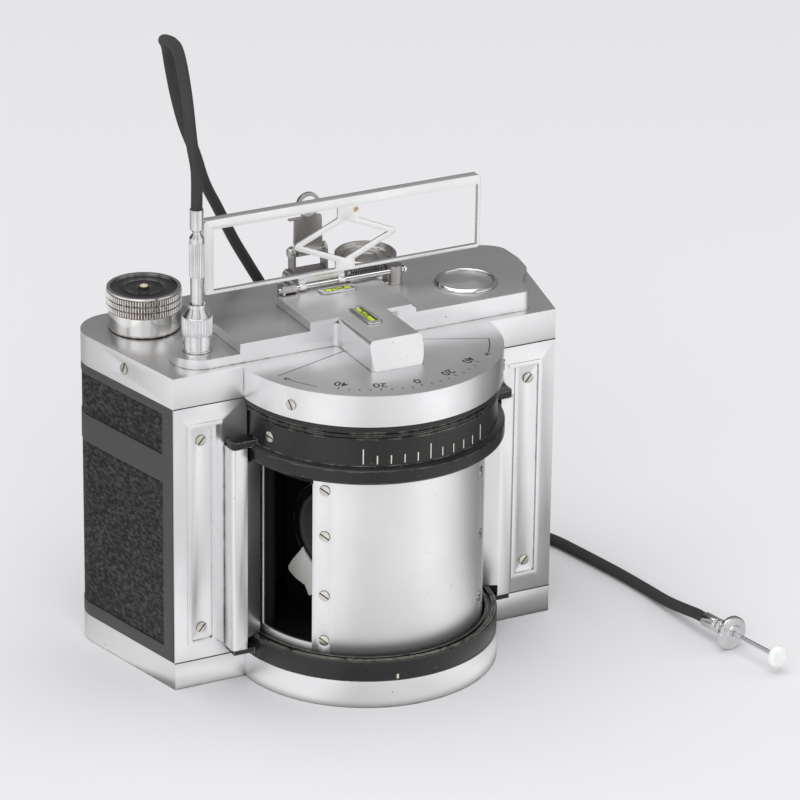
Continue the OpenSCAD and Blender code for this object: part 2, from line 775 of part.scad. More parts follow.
// Tube of radius r and n sides along the points p
function ring_frames(p, i = 0, side = [0, 1, 0], out = []) =
    i == len(p) ? out :
    let (t = unit(i == 0 ? p[1] - p[0] : i == len(p) - 1 ? p[i] - p[i - 1] : p[i + 1] - p[i - 1]))
    let (s = unit(side - (side * t) * t))
    ring_frames(p, i + 1, s, concat(out, [[s, cross(t, s)]]));

module sweep(p, r, n) {
    frames = ring_frames(p);
    pts = [for (i = [0:len(p) - 1], k = [0:n - 1])
        p[i] + r * cos(k * 360 / n) * frames[i][0] + r * sin(k * 360 / n) * frames[i][1]];
    last = (len(p) - 1) * n;
    faces = concat(
        [[for (k = [0:n - 1]) k]],
        [for (i = [0:len(p) - 2], k = [0:n - 1], h = [0, 1])
            let (a = i * n + k, b = i * n + (k + 1) % n)
            h == 0 ? [a, a + n, b] : [b, a + n, b + n]],
        [[for (k = [n - 1:-1:0]) last + k]]);
    polyhedron(points = pts, faces = faces, convexity = 10);
}

module sight_pin() {
    color(steel) at_axis() translate([sight_mid, sight_y, sight_z]) rotate([0, 90, 0])
        translate([0, 0, -ear_gap / 2 - ear_t - 0.8]) {
            cylinder(r = sight_pin_r, h = ear_gap + 2 * ear_t + 1.2, $fn = 32);
            cylinder(r = 1.9, h = 0.8, $fn = 32);
        }
}

module release_socket() {
    color(steel) at_axis() translate([socket_x, socket_y, 0]) difference() {
        union() {
            translate([0, 0, tongue_top]) cylinder(r = socket_r, h = socket_top - tongue_top, $fn = 64);
            translate([0, 0, tongue_top]) cylinder(r = socket_r + 0.4, h = 0.8, $fn = 64);
        }
        translate([0, 0, tongue_top - 1]) cylinder(r = pin_r + fit, h = 30);
    }
}

module tripod_bush() {
    color(brass) difference() {
        union() {
            cylinder(r = bush_out_r, h = base_h - frame_plate - nest, $fn = 64);
            translate([0, 0, cover_skin + nest])
                cylinder(r = bush_out_r + 3, h = base_h - frame_plate - cover_skin - 2 * nest, $fn = 64);
        }
        translate([0, 0, -1]) cylinder(r = tripod_r, h = tripod_l + 1);
    }
}

tripod_r = 2.55;
tripod_l = 7;

module drum_bushes() {
    color(brass) at_axis() {
        tube(bush_r, drum_pivot_r, base_h - frame_plate, base_h);
        tube(bush_r, drum_pivot_r, body_top, body_top + frame_plate);
    }
}

// Fixed pins that the spools turn on
module spool_pins() {
    reach = 4.5;
    color(steel) at_axis() {
        both_sides() translate([spool_x, spool_y, base_h - frame_plate])
            cylinder(r = spool_pin_r, h = spool_low + reach - base_h + frame_plate);
        translate([spool_x, spool_y, spool_high - reach]) {
            cylinder(r = spool_pin_r, h = chamber_top - spool_high + reach);
            translate([0, 0, chamber_top - spool_high + reach]) cylinder(r = wind_shaft_r, h = chamber_roof);
        }
    }
}

spool_low = lens_z - spool_half_h;
spool_high = lens_z + spool_half_h;

// Back

back_low = base_h + nest;
back_high = body_top - nest;
leather_front = 5.2;
band_low = 78;
band_high = 88.5;

module leather_zone(g, z0, z1) {
    difference() {
        plan_prism(g, z0, z1, leather_front);
        plan_prism(leather_recess, z0 - 1, z1 + 1, leather_front - 3);
    }
}

module back_cover() {
    plate_stand = 22;
    color(black) at_axis() {
        difference() {
            plan_prism(0, back_low, back_high, 0.05);
            plan_prism(back_wall, back_low - 1, back_high + 1, -1);
            leather_zone(-1, back_low + 4.8, band_low);
            leather_zone(-1, band_high, back_high - 3.4);
        }
        // Posts that carry the pressure plate
        both_sides() for (z = [lens_z - 18, lens_z + 18])
            translate([plate_stand, back_d - back_wall, z]) rotate([90, 0, 0])
                cylinder(r = 2.5, h = back_d - back_wall - plate_foot(plate_stand + 2.5));
    }
}

plate_in = gate_r + 0.6;
plate_out = plate_in + 1.2;

// Depth of the pressure plate's back surface at x
function plate_foot(x) = sqrt(plate_out * plate_out - (x - 5) * (x - 5)) + 0.15;

module leather_panels() {
    color(black) at_axis() {
        leather_zone(leather_recess - 0.75, back_low + 5.1, band_low - 0.3);
        leather_zone(leather_recess - 0.75, band_high + 0.3, back_high - 3.7);
    }
}

module pressure_plate() {
    half = 60;
    r = 90;
    color(black) at_axis() intersection() {
        tube(plate_out, plate_in, lens_z - 28.5, lens_z + 28.5);
        linear_extrude(200) polygon([[0, 0], [r * sin(half), r * cos(half)], [r, 2 * r], [-r, 2 * r],
            [-r * sin(half), r * cos(half)]]);
    }
}

// Leaf springs between the back and the pressure plate
module pressure_springs() {
    leaf_y = back_d - back_wall;
    color(steel) at_axis() for (z = [lens_z - 6, lens_z + 6])
        translate([0, 0, z]) linear_extrude(4)
            polygon([[-16, leaf_y], [-9, leaf_y], [0, plate_out + 0.7], [9, leaf_y],
                [16, leaf_y], [16, leaf_y - 0.5], [9.2, leaf_y - 0.5], [0, plate_out + 0.1],
                [-9.2, leaf_y - 0.5], [-16, leaf_y - 0.5]]);
}

// Drum

module wedge(half_deg, r = 60) {
    polygon([[0, 0], [r * cos(half_deg), r * sin(half_deg)], [r * cos(half_deg), -r * sin(half_deg)]]);
}

module drum_shell() {
    color(silver) at_axis() difference() {
        tube(drum_r, drum_r - shell_t, drum_low, drum_top);
        facing_window() translate([0, 0, window_low]) linear_extrude(window_h) wedge(window_half);
        facing_window() rotate([0, 0, 180]) translate([0, 0, lens_z - frame_h / 2 - 1])
            linear_extrude(frame_h + 2) wedge(slit_half_deg);
        at_drum_screws() screw_hole();
    }
}

module drum_discs() {
    disc_r = drum_r - shell_t - fit;
    pivot = drum_pivot_r - fit;
    color(black) at_axis() difference() {
        union() {
            translate([0, 0, drum_low + 0.6]) cylinder(r = disc_r, h = 2.4, $fn = 180);
            translate([0, 0, drum_top - 3.4]) cylinder(r = disc_r, h = 2.4, $fn = 180);
            translate([0, 0, base_h - frame_plate])
                cylinder(r = pivot, h = drum_low - base_h + frame_plate + 1);
            translate([0, 0, drum_top - 2])
                cylinder(r = pivot, h = body_top + frame_plate - drum_top + 2);
        }
    }
}

module drum_posts() {
    color(black) at_axis() difference() {
        for (a = post_deg) facing_window() rotate([0, 0, a]) translate([post_d, 0, drum_low + 3])
            cylinder(r = post_r, h = drum_top - drum_low - 6.4, $fn = 32);
        at_drum_screws() screw_hole();
    }
}

module drum_screws() {
    color(brass) at_axis() at_drum_screws() screw(60, 0.3);
}

// Black tunnel from the lens board to the slit that sweeps over the film
module lens_tunnel() {
    slit_d = drum_r - shell_t - 0.6;
    front_d = lens_board_d - 1.2;
    color(black) at_axis() facing_window() difference() {
        hull() {
            block([front_d - 1, -18, lens_z - 18], [front_d, 18, lens_z + 18]);
            block([-slit_d, -3, lens_z - frame_h / 2 - 2], [1 - slit_d, 3, lens_z + frame_h / 2 + 2]);
        }
        hull() {
            block([front_d, -16.6, lens_z - 16.6], [front_d + 1, 16.6, lens_z + 16.6]);
            block([-slit_d - 1, -1.4, lens_z - frame_h / 2], [-slit_d, 1.4, lens_z + frame_h / 2]);
        }
    }
}

module lens_board() {
    color(black) at_axis() facing_window() difference() {
        block([lens_board_d - 1.1, -lens_board_half, drum_low + 3],
            [lens_board_d + 1, lens_board_half, drum_top - 3.4]);
        translate([0, 0, lens_z]) rotate([0, 90, 0]) cylinder(r = lens_glass_r + 2 + nest, h = 30);
    }
}

// Lens barrel: a sleeve through the board, with a stepped front ring
module lens_barrel() {
    b = lens_board_d + 1;
    r_in = lens_glass_r + 0.1;
    color(black) at_axis() along_lens() rotate_extrude($fn = 96)
        polygon([[r_in, b - 8], [r_in + 1.8, b - 8], [r_in + 1.8, b], [lens_barrel_r + 3, b],
            [lens_barrel_r + 3, b + 1.5], [lens_barrel_r - 1.2, b + 1.5],
            [lens_barrel_r - 1.2, lens_face_d - 1], [lens_barrel_r, lens_face_d - 1],
            [lens_barrel_r, lens_face_d], [lens_barrel_r - 1, lens_face_d],
            [r_in + 0.9, lens_face_d - 3.4], [r_in, lens_face_d - 3.4]]);
}

module lens_front() {
    z0 = lens_face_d - 5.4;
    color([0.5, 0.6, 0.7]) at_axis() along_lens() rotate_extrude($fn = 64)
        polygon(concat([[0, z0 - 2], [lens_glass_r, z0 - 2], [lens_glass_r, z0]],
            [for (a = [8:8:24]) [lens_glass_r * (1 - a / 24), z0 + 2.2 * sin(a * 90 / 24)]]));
}

module lens_rear() {
    z0 = lens_board_d - 6.8;
    color([0.5, 0.6, 0.7]) at_axis() along_lens() rotate_extrude($fn = 64)
        polygon(concat([[0, z0 + 3], [lens_glass_r, z0 + 3], [lens_glass_r, z0 + 1.4]],
            [for (a = [8:8:24]) [lens_glass_r * (1 - a / 24), z0 + 1.4 - 1.6 * sin(a * 90 / 24)]]));
}

// Aperture ring with its lever, between the barrel's flange and its front ring
module aperture_ring() {
    z0 = lens_board_d + 2.5 + fit;
    z1 = lens_face_d - 1 - fit;
    r_in = lens_barrel_r - 1.2 + fit;
    lever = [[-9.8, 45.4], [-12.7, 44.6], [-14.9, 40.2], [-18.9, 35.2], [-21.5, 30.9], [-17.6, 28.4],
        [-12.9, 27], [-12, 25.4], [-11, 23.2], [-9.4, 24.4]];
    color(silver) at_axis() {
        along_lens() tube(lens_ring_r, r_in, z0, z1);
        facing_window() in_yz(z1 - 0.2, z1 + 0.8) difference() {
            polygon(rounded(lever, [0.6, 0.6, 0, 1, 1.6, 1, 0.5, 0, 0.8, 0.6], 3));
            translate([0, lens_z]) circle(r = lens_ring_r - 1.5, $fn = 96);
        }
    }
}

// Winding knob

// Toothed ring outline
function teeth(r, depth, n) = [for (i = [0:n - 1], k = [0:3])
    let (a = (i + [0, 0.28, 0.5, 0.78][k]) * 360 / n, q = k == 1 || k == 2 ? r : r - depth)
    q * [cos(a), sin(a)]];

module at_knob() {
    translate([-spool_x, spool_y, 0]) children();
}

module wind_knob() {
    foot = cover_top + 0.3;
    rim = cover_top + 7.4;
    top = rim + 7.9;
    row_h = 1.8;
    core_r = knob_r - 0.55;
    color(silver) at_axis() at_knob() difference() {
        union() {
            translate([0, 0, foot]) cylinder(r = knob_r - 0.8, h = rim - foot, $fn = 96);
            translate([0, 0, rim]) cylinder(r = core_r, h = top - rim, $fn = 96);
            translate([0, 0, top - 0.7]) cylinder(r = core_r + 0.25, h = 0.7, $fn = 96);
            for (i = [0:2])
                translate([0, 0, rim + 0.5 + i * (row_h + 0.5)])
                    linear_extrude(row_h) polygon(teeth(knob_r, 0.5, 84));
        }
        translate([0, 0, top - 1]) cylinder(r = knob_r - 1.5, h = 2, $fn = 96);
        translate([0, 0, foot - 1]) cylinder(r = wind_shaft_r + nest / 2, h = top - foot - 3);
    }
}

module wind_disc() {
    r = knob_r - 1.5 - fit;
    top = cover_top + 15.3;
    color(black) at_axis() at_knob() translate([0, 0, top - 1]) rotate_extrude($fn = 96)
        polygon([[0, 0], [r, 0], [r, 0.35], [r - 1, 0.35], [r - 1, 0.2], [r - 4.6, 0.2], [r - 4.6, 0.35],
            [r - 5.2, 0.35], [r - 5.2, 0.15], [1.9, 0.15], [1.9, 0.9], [1.5, 1.1], [0, 1.1]]);
}

module wind_shaft() {
    foot = spool_high - 4;
    shaft_top = cover_top + 11.3;
    color(steel) at_axis() at_knob() {
        translate([0, 0, spool_high + 0.6])
            cylinder(r = wind_shaft_r, h = shaft_top - spool_high - 0.6);
        block([-4.4, -0.8, foot], [4.4, 0.8, spool_high + 0.8]);
    }
}

module spool(x) {
    color(steel) at_axis() translate([x, spool_y, 0]) difference() {
        union() {
            translate([0, 0, spool_low]) cylinder(r = spool_flange_r, h = 1.2, $fn = 96);
            translate([0, 0, spool_high - 1.2]) cylinder(r = spool_flange_r, h = 1.2, $fn = 96);
            translate([0, 0, spool_low]) cylinder(r = spool_core_r, h = 2 * spool_half_h);
        }
        for (z = [spool_low - 1, spool_high - 5]) translate([0, 0, z]) {
            cylinder(r = spool_pin_r + fit, h = 6);
            block([-4.8, -1.1, 0], [4.8, 1.1, 6]);
        }
        block([-spool_core_r - 1, -0.5, lens_z - 25], [spool_core_r + 1, 0.5, lens_z + 25]);
    }
}

module take_up_spool() {
    spool(-spool_x);
}

module supply_spool() {
    spool(spool_x);
}

module roller(side) {
    color(steel) at_axis() translate([side * roller_x, roller_y, 0]) {
        translate([0, 0, frame_floor + 0.3])
            cylinder(r = roller_r, h = chamber_top - frame_floor - 0.6, $fn = 48);
        translate([0, 0, frame_floor - 1.7]) cylinder(r = 1.5, h = chamber_top - frame_floor + 3.4);
    }
}

module roller_left() {
    roller(-1);
}

module roller_right() {
    roller(1);
}

// Round dial: a dished cap with concentric rings and a pivot
module dial() {
    r = dial_r;
    h = dial_h;
    color(steel) at_axis() translate([dial_x, dial_y, dial_top - dial_h]) rotate_extrude($fn = 96)
        polygon([[0, -5], [1.9, -5], [1.9, 0], [r, 0], [r, h - 0.5], [r - 0.5, h], [r - 1.2, h],
            [r - 1.7, h - 1.6], [r - 3.4, h - 1.9], [r - 3.4, h - 1.5], [r - 3.9, h - 1.5],
            [r - 4.1, h - 2], [r - 6.6, h - 2.1], [r - 6.6, h - 1.7], [r - 7.1, h - 1.7],
            [r - 7.3, h - 2.2], [0, h - 2.2]]);
}

// Finder: a sheet frame with turned-back flanges, and a rhombus on two necks
module finder_frame() {
    x0 = finder_left;
    x1 = finder_left + finder_w;
    z0 = finder_low;
    z1 = finder_low + finder_h;
    top_bar = 3.5;
    side_bar = 1.1;
    left_bar = 3.6;
    top_flange = 3.5;
    low_flange = 2.2;
    yf = rod_y - finder_sheet / 2;
    yb = yf + finder_sheet;
    rx = rhomb_x;
    rz = rhomb_z;
    lug = [rx - 18, rx];
    knuckle_w = 2.6;
    color(silver) at_axis() difference() {
        union() {
            in_xz(yf, yb) difference() {
                polygon(rounded([[x0, z0], [x1, z0], [x1, z1], [x0, z1]], 1.2, 4));
                polygon([[x0 + left_bar, z0 + side_bar], [x1 - side_bar, z0 + side_bar],
                    [x1 - side_bar, z1 - top_bar], [x0 + left_bar, z1 - top_bar]]);
            }
            in_xz(yf, yb) rhombus(rx, rz, z0 + side_bar / 2, z1 - top_bar / 2);
            block([x0 + 1, yb, z1 - finder_sheet], [x1 - 1, yf + top_flange, z1]);
            block([x0 + 1, yb, z0], [x1 - 1, yf + low_flange, z0 + finder_sheet]);
            for (x = [x0, x1 - finder_sheet])
                block([x, yb, z0 + 1], [x + finder_sheet, yf + 2.2, z1 - 1]);
            // Hinge leaf and its two knuckles
            block([lug[0], yb - 0.1, rod_z + 1.2], [lug[1], yb + 0.7, z0 + 0.5]);
            for (x = [lug[0], lug[1] - knuckle_w])
                in_yz(x, x + knuckle_w) union() {
                    translate([rod_y, rod_z]) circle(r = 1.25, $fn = 32);
                    polygon([[rod_y, rod_z], [rod_y + 1.15, rod_z], [rod_y + 1.15, rod_z + 2.4],
                        [rod_y, rod_z + 2.4]]);
                }
        }
        translate([rx - 40, rod_y, rod_z]) rotate([0, 90, 0]) cylinder(r = rod_r + fit, h = 80, $fn = 32);
    }
}

// Rhombus with an open middle, joined to the bars by a neck above and below
module rhombus(x, z, z0, z1) {
    half_w = 21.7;
    half_h = 9.6;
    open_w = 16.8;
    open_h = 7.2;
    difference() {
        union() {
            polygon(rounded([[x - half_w, z], [x, z - half_h], [x + half_w, z], [x, z + half_h]], 1.2, 5));
            polygon([[x - 3, z + half_h - 2.5], [x + 5.2, z + half_h - 2.5], [x + 5.2, z1], [x - 3, z1]]);
            polygon([[x - 3.7, z0], [x + 3.8, z0], [x + 3.8, z - half_h + 2.5], [x - 3.7, z - half_h + 2.5]]);
        }
        polygon([[x - open_w, z], [x, z - open_h], [x + open_w, z], [x, z + open_h]]);
    }
}

// Rear sight: a leaf with a wire eyelet, folding about its pin
module rear_sight() {
    t = 1;
    y0 = sight_y - t / 2;
    ring_r = 4.7;
    wire = 1.3;
    foot = sight_z + 2.4;
    shoulder = sight_z + sight_h - 2 * ring_r + 0.4;
    half = leaf_w / 2;
    m = sight_mid;
    color(steel) at_axis() difference() {
        union() {
            in_xz(y0, y0 + t) polygon(rounded([[m - half, foot], [m + half, foot],
                [m + half - 0.4, shoulder], [m - half - 2.2, shoulder],
                [m - half - 2.2, shoulder - 0.8], [m - half + 0.2, shoulder - 0.8]],
                [1, 1, 0.6, 0.3, 0.3, 0.4], 4));
            in_xz(y0 - 0.1, y0 + t + 0.1) translate([m, sight_z + sight_h - ring_r]) difference() {
                circle(r = ring_r, $fn = 64);
                circle(r = ring_r - wire, $fn = 64);
            }
            in_yz(m - half + 1, m + half - 1) union() {
                translate([sight_y, sight_z]) circle(r = 1.8, $fn = 32);
                polygon([[y0, sight_z], [y0 + t, sight_z], [y0 + t, foot + 1.2], [y0, foot + 1.2]]);
            }
        }
        translate([m - 20, sight_y, sight_z]) rotate([0, 90, 0])
            cylinder(r = sight_pin_r + fit, h = 40, $fn = 32);
        in_xz(y0 - 1, y0 + t + 1) translate([m, sight_z + sight_h - ring_r])
            circle(r = ring_r - wire, $fn = 64);
    }
}

// Cable release

module release_pin() {
    color(steel) at_axis() translate([socket_x, socket_y, 0]) {
        translate([0, 0, body_top - 3]) cylinder(r = pin_r, h = socket_top - body_top + 2.6, $fn = 24);
    }
}

module cable_nut() {
    knurl_top = socket_top + nut_knurl_h;
    color(silver) at_axis() translate([socket_x, socket_y, 0]) difference() {
        union() {
            translate([0, 0, socket_top + nest / 2]) linear_extrude(knurl_top - socket_top - nest / 2)
                polygon(teeth(nut_r, 0.35, 30));
            translate([0, 0, knurl_top]) rotate_extrude($fn = 64)
                polygon([[0, 0], [nut_r - 0.5, 0], [nut_r - 1, 0.8], [3.6, 2.2], [3.1, 3.2],
                    [3, nut_cone_h], [0, nut_cone_h]]);
        }
        translate([0, 0, socket_top - 1]) cylinder(r = 1.6, h = 20);
    }
}

// Tube, fluted grip, neck and upper ferrule, closed at the top where the cable enters
module cable_ferrule() {
    z = nut_top;
    color(silver) at_axis() translate([socket_x, socket_y, 0]) {
        translate([0, 0, z + nest / 2]) cylinder(r = 2.3, h = sleeve_l - nest / 2, $fn = 48);
        translate([0, 0, z + sleeve_l]) linear_extrude(flute_l) polygon(teeth(2.75, 0.28, 20));
        translate([0, 0, z + sleeve_l + flute_l]) rotate_extrude($fn = 48)
            polygon([[0, 0], [2.6, 0], [2.6, 2], [1.9, 3], [1.5, 3.6], [1.5, 4], [1.9, 4.6], [2.4, 5.2],
                [2.4, neck_l], [0, neck_l]]);
    }
}

// Smooth curve through the route's points
function curve_point(a, b, c, d, t) = 0.5 * (2 * b + (c - a) * t + (2 * a - 5 * b + 4 * c - d) * t * t
    + (3 * b - a - 3 * c + d) * t * t * t);

function cable_path(p, n) = concat(
    [for (i = [0:len(p) - 2], k = [0:n - 1])
        curve_point(p[max(i - 1, 0)], p[i], p[i + 1], p[min(i + 2, len(p) - 1)], k / n)],
    [p[len(p) - 1]]);

module cable() {
    path = cable_path(CABLE, 2);
    length = [for (i = [1:len(path) - 1]) norm(path[i] - path[i - 1])] * [for (i = [1:len(path) - 1]) 1];
    echo(cable_length = length, coil_gap = coil_gap());
    color(black) sweep(path, cable_d / 2, 10);
}

// Places children at the end of the cable, with +Z along it and away from the camera
module at_cable_end() {
    translate([end_start.x, end_start.y, finger_r]) rotate([90, 0, 0]) rotate([0, end_yaw, 0])
        children();
}

module end_ferrule() {
    color(silver) at_cable_end() difference() {
        rotate_extrude($fn = 48)
            polygon([[0, 0], [2.6, 0], [2.6, 6.2], [2, 6.8], [2, 7.2], [2.7, 7.8], [2.7, 8.6], [2.1, 9.2],
                [2.1, end_ferrule_l], [0, end_ferrule_l]]);
        translate([0, 0, 1.5]) cylinder(r = 0.9 + fit, h = 20, $fn = 32);
    }
}

module finger_disc() {
    color(silver) at_cable_end() translate([0, 0, end_ferrule_l]) difference() {
        rotate_extrude($fn = 64)
            polygon([[0, 0], [2.6, 0], [2.6, 2.2], [finger_r - 0.5, 2.6], [finger_r, 3.1],
                [finger_r, 4.6], [finger_r - 0.5, 5.1], [3.2, 5.1], [3, barrel_l], [0, barrel_l]]);
        translate([0, 0, -1]) cylinder(r = 0.9 + fit, h = 20, $fn = 32);
    }
}

plunger_start = end_ferrule_l + barrel_l;

module plunger_rod() {
    color(steel) at_cable_end() translate([0, 0, plunger_start - 4.5])
        cylinder(r = 0.9, h = rod_l + 4.5 + 2, $fn = 32);
}

module plunger_button() {
    color([0.92, 0.9, 0.88]) at_cable_end() translate([0, 0, plunger_start + rod_l]) difference() {
        rotate_extrude($fn = 48)
            polygon([[0, 0], [1.6, 0], [2, 1.2], [button_r - 0.4, 1.8], [button_r, 2.4],
                [button_r, button_t - 0.5], [button_r - 0.6, button_t], [0, button_t]]);
        translate([0, 0, -1]) cylinder(r = 0.9, h = 3, $fn = 32);
    }
}

module back_lock(side) {
    color(silver) at_axis() translate([side * lock_x, lock_y, 0]) {
        difference() {
            translate([0, 0, 0.3]) cylinder(r = lock_r, h = cover_skin - 0.3, $fn = 64);
            block([-lock_r, -1, -1], [lock_r, 1, 1.1]);
        }
        translate([0, 0, cover_skin]) cylinder(r = 2.5, h = base_h + 3.5 - cover_skin);
    }
}

module back_lock_left() {
    back_lock(-1);
}

module back_lock_right() {
    back_lock(1);
}

main_frame();
top_cover();
top_housing();
bottom_cover();
upper_ring();
lower_ring();
front_panel_left();
front_panel_right();
guard_left();
guard_right();
cover_screws();
panel_screws();
ring_screws();
level_bezels();
level_vials();
badge_rim();
badge_plate();
hinge_bracket();
hinge_rod();
hinge_spring();
sight_pin();
release_socket();
tripod_bush();
drum_bushes();
spool_pins();
back_cover();
leather_panels();
pressure_plate();
pressure_springs();
drum_shell();
drum_discs();
drum_posts();
lens_tunnel();
lens_board();
lens_barrel();
lens_front();
lens_rear();
drum_screws();
aperture_ring();
wind_knob();
wind_disc();
wind_shaft();
take_up_spool();
supply_spool();
roller_left();
roller_right();
dial();
finder_frame();
rear_sight();
release_pin();
cable_nut();
cable_ferrule();
cable();
end_ferrule();
finger_disc();
plunger_rod();
plunger_button();
back_lock_left();
back_lock_right();
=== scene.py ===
"""Studio picture of a wide-angle roll-film camera with a swinging lens drum and a cable release."""

import json
import math

import bpy
from mathutils import Matrix, Vector


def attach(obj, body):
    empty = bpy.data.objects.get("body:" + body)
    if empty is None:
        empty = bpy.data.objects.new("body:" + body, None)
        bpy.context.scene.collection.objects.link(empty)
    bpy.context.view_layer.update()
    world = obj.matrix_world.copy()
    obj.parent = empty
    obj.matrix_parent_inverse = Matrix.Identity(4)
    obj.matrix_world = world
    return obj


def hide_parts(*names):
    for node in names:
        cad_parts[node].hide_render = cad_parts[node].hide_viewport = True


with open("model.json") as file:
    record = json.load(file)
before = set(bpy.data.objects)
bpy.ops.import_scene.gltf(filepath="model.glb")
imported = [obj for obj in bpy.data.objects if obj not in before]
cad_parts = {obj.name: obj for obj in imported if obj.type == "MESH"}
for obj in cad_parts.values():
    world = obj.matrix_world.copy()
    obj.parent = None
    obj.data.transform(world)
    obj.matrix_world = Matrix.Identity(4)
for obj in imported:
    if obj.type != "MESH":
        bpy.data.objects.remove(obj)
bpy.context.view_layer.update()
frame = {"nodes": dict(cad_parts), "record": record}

scene = bpy.context.scene
NODES = frame["nodes"]
RECORD = frame["record"]
MM = 0.001
BODY_OF = {n: body for body, members in RECORD["behaviour"]["bodies"].items() for n in members}
SLOT_OF = {part["node"]: part["material_slot"] for part in RECORD["subparts"]}


# Camera

PICTURE_PX = 800
VIEW_AZIMUTH = -27.525
VIEW_ELEVATION = 23.195
VIEW_ROLL = 0.738
EYE = Vector((-732.4, -1438.8, 786.1)) * MM
FOCAL_PX = 4973.6
SENSOR_MM = 36.0


def place_camera():
    """The camera stands where the photographer's stood."""
    az, el, roll = (math.radians(a) for a in (VIEW_AZIMUTH, VIEW_ELEVATION, VIEW_ROLL))
    back = Vector((math.sin(az) * math.cos(el), -math.cos(az) * math.cos(el), math.sin(el)))
    level = back.cross(Vector((0, 0, -1))).normalized()
    upright = back.cross(level)
    right = level * math.cos(roll) + upright * math.sin(roll)
    up = upright * math.cos(roll) - level * math.sin(roll)
    data = bpy.data.cameras.new("studio_camera")
    data.sensor_width = SENSOR_MM
    data.lens = FOCAL_PX * SENSOR_MM / PICTURE_PX
    data.clip_start = 0.05
    data.clip_end = 20.0
    camera = bpy.data.objects.new("studio_camera", data)
    scene.collection.objects.link(camera)
    camera.matrix_world = Matrix.Translation(EYE) @ Matrix((right, up, back)).transposed().to_4x4()
    scene.camera = camera


place_camera()


# Tools for shaping

# Millimetres
SMALLEST_R = 0.01
WELD = 0.002

# Degrees that an edge turns by
ROUND_BELOW = 32
LINE_ROUND_BELOW = 60
BEVEL_ABOVE = 28
CHAMFER_ABOVE = 40


def only(piece):
    """Selects one piece, with nothing else selected."""
    bpy.ops.object.select_all(action="DESELECT")
    piece.select_set(True)
    bpy.context.view_layer.objects.active = piece


def settle(piece):
    """Puts a piece's place into its mesh, so that its object sits at the origin."""
    only(piece)
    bpy.ops.object.transform_apply(location=True, rotation=True, scale=True)
    return piece


def edit(piece, *steps):
    """Runs edit-mode steps on the whole of a piece."""
    only(piece)
    bpy.ops.object.mode_set(mode="EDIT")
    bpy.ops.mesh.select_all(action="SELECT")
    for step in steps:
        step()
    bpy.ops.object.mode_set(mode="OBJECT")
    return piece


def modify(piece, kind, **values):
    """Adds a modifier to a piece and applies it."""
    only(piece)
    modifier = piece.modifiers.new(kind.lower(), kind)
    for name, value in values.items():
        setattr(modifier, name, value)
    bpy.ops.object.modifier_apply(modifier=modifier.name)
    return piece


def smooth(piece, angle=ROUND_BELOW):
    """Shades a piece smooth across edges that turn by less than an angle in degrees."""
    only(piece)
    bpy.ops.object.shade_smooth_by_angle(angle=math.radians(angle))
    return piece


def soften(piece, width, segments):
    """Breaks a piece's sharp edges by a width in millimetres."""
    modify(piece, "BEVEL", width=width * MM, segments=segments, limit_method="ANGLE",
           angle_limit=math.radians(BEVEL_ABOVE), miter_outer="MITER_ARC", harden_normals=False)
    return smooth(piece)


def chamfer(piece, wanted, width, segments):
    """Breaks only those sharp edges whose two ends wanted() accepts, given in millimetres."""
    only(piece)
    bpy.ops.object.mode_set(mode="EDIT")
    bpy.ops.mesh.select_mode(type="EDGE")
    bpy.ops.mesh.select_all(action="DESELECT")
    bpy.ops.mesh.edges_select_sharp(sharpness=math.radians(CHAMFER_ABOVE))
    bpy.ops.object.mode_set(mode="OBJECT")
    points = piece.data.vertices
    for edge in piece.data.edges:
        edge.select = edge.select and all(wanted(*(points[i].co / MM)) for i in edge.vertices)
    bpy.ops.object.mode_set(mode="EDIT")
    bpy.ops.mesh.bevel(offset=width * MM, segments=segments, affect="EDGES", clamp_overlap=True)
    bpy.ops.object.mode_set(mode="OBJECT")
    return piece


def tube(name, points, width, roundness):
    """A round line through points in metres; its width is in millimetres."""
    curve = bpy.data.curves.new(name, "CURVE")
    curve.dimensions = "3D"
    spline = curve.splines.new("POLY")
    spline.points.add(len(points) - 1)
    for point, place in zip(spline.points, points):
        point.co = (*place, 1)
    curve.bevel_depth = width / 2 * MM
    curve.bevel_resolution = roundness
    curve.use_fill_caps = True
    piece = bpy.data.objects.new(name, curve)
    scene.collection.objects.link(piece)
    only(piece)
    bpy.ops.object.convert(target="MESH")
    return bpy.context.object


def inlay(name, lines, width, body, material, slot, flat=1):
    """Lines of colour let into a surface: each line is a list of points in millimetres.

    flat is how far lines on a level surface are pressed flat; 1 leaves them round.
    """
    parts = [tube(name, [Vector(place) * MM for place in points], width, 1) for points in lines]
    piece = join(name, parts)
    if flat < 1:
        level = lines[0][0][2] * MM
        edit(piece, lambda: bpy.ops.transform.resize(value=(1, 1, flat), center_override=(0, 0, level)))
    smooth(piece, LINE_ROUND_BELOW)
    return fit(piece, body, material, slot)


def turned(name, profile, origin, sides):
    """A lathe-turned piece: profile holds (radius, height) in millimetres above its origin."""
    bpy.ops.object.select_all(action="DESELECT")
    radius, height = profile[0]
    bpy.ops.mesh.primitive_circle_add(vertices=sides, radius=radius * MM, fill_type="NGON")
    piece = bpy.context.object
    piece.name = name
    bpy.ops.object.mode_set(mode="EDIT")
    bpy.ops.mesh.select_all(action="SELECT")
    bpy.ops.transform.translate(value=(0, 0, height * MM))
    for (r0, z0), (r1, z1) in zip(profile, profile[1:]):
        bpy.ops.mesh.extrude_region_move(TRANSFORM_OT_translate={"value": (0, 0, (z1 - z0) * MM)})
        k = max(r1, SMALLEST_R) / max(r0, SMALLEST_R)
        bpy.ops.transform.resize(value=(k, k, 1), center_override=(0, 0, z1 * MM))
    bpy.ops.mesh.select_all(action="SELECT")
    bpy.ops.mesh.normals_make_consistent(inside=False)
    bpy.ops.object.mode_set(mode="OBJECT")
    piece.location = Vector(origin) * MM
    return settle(piece)


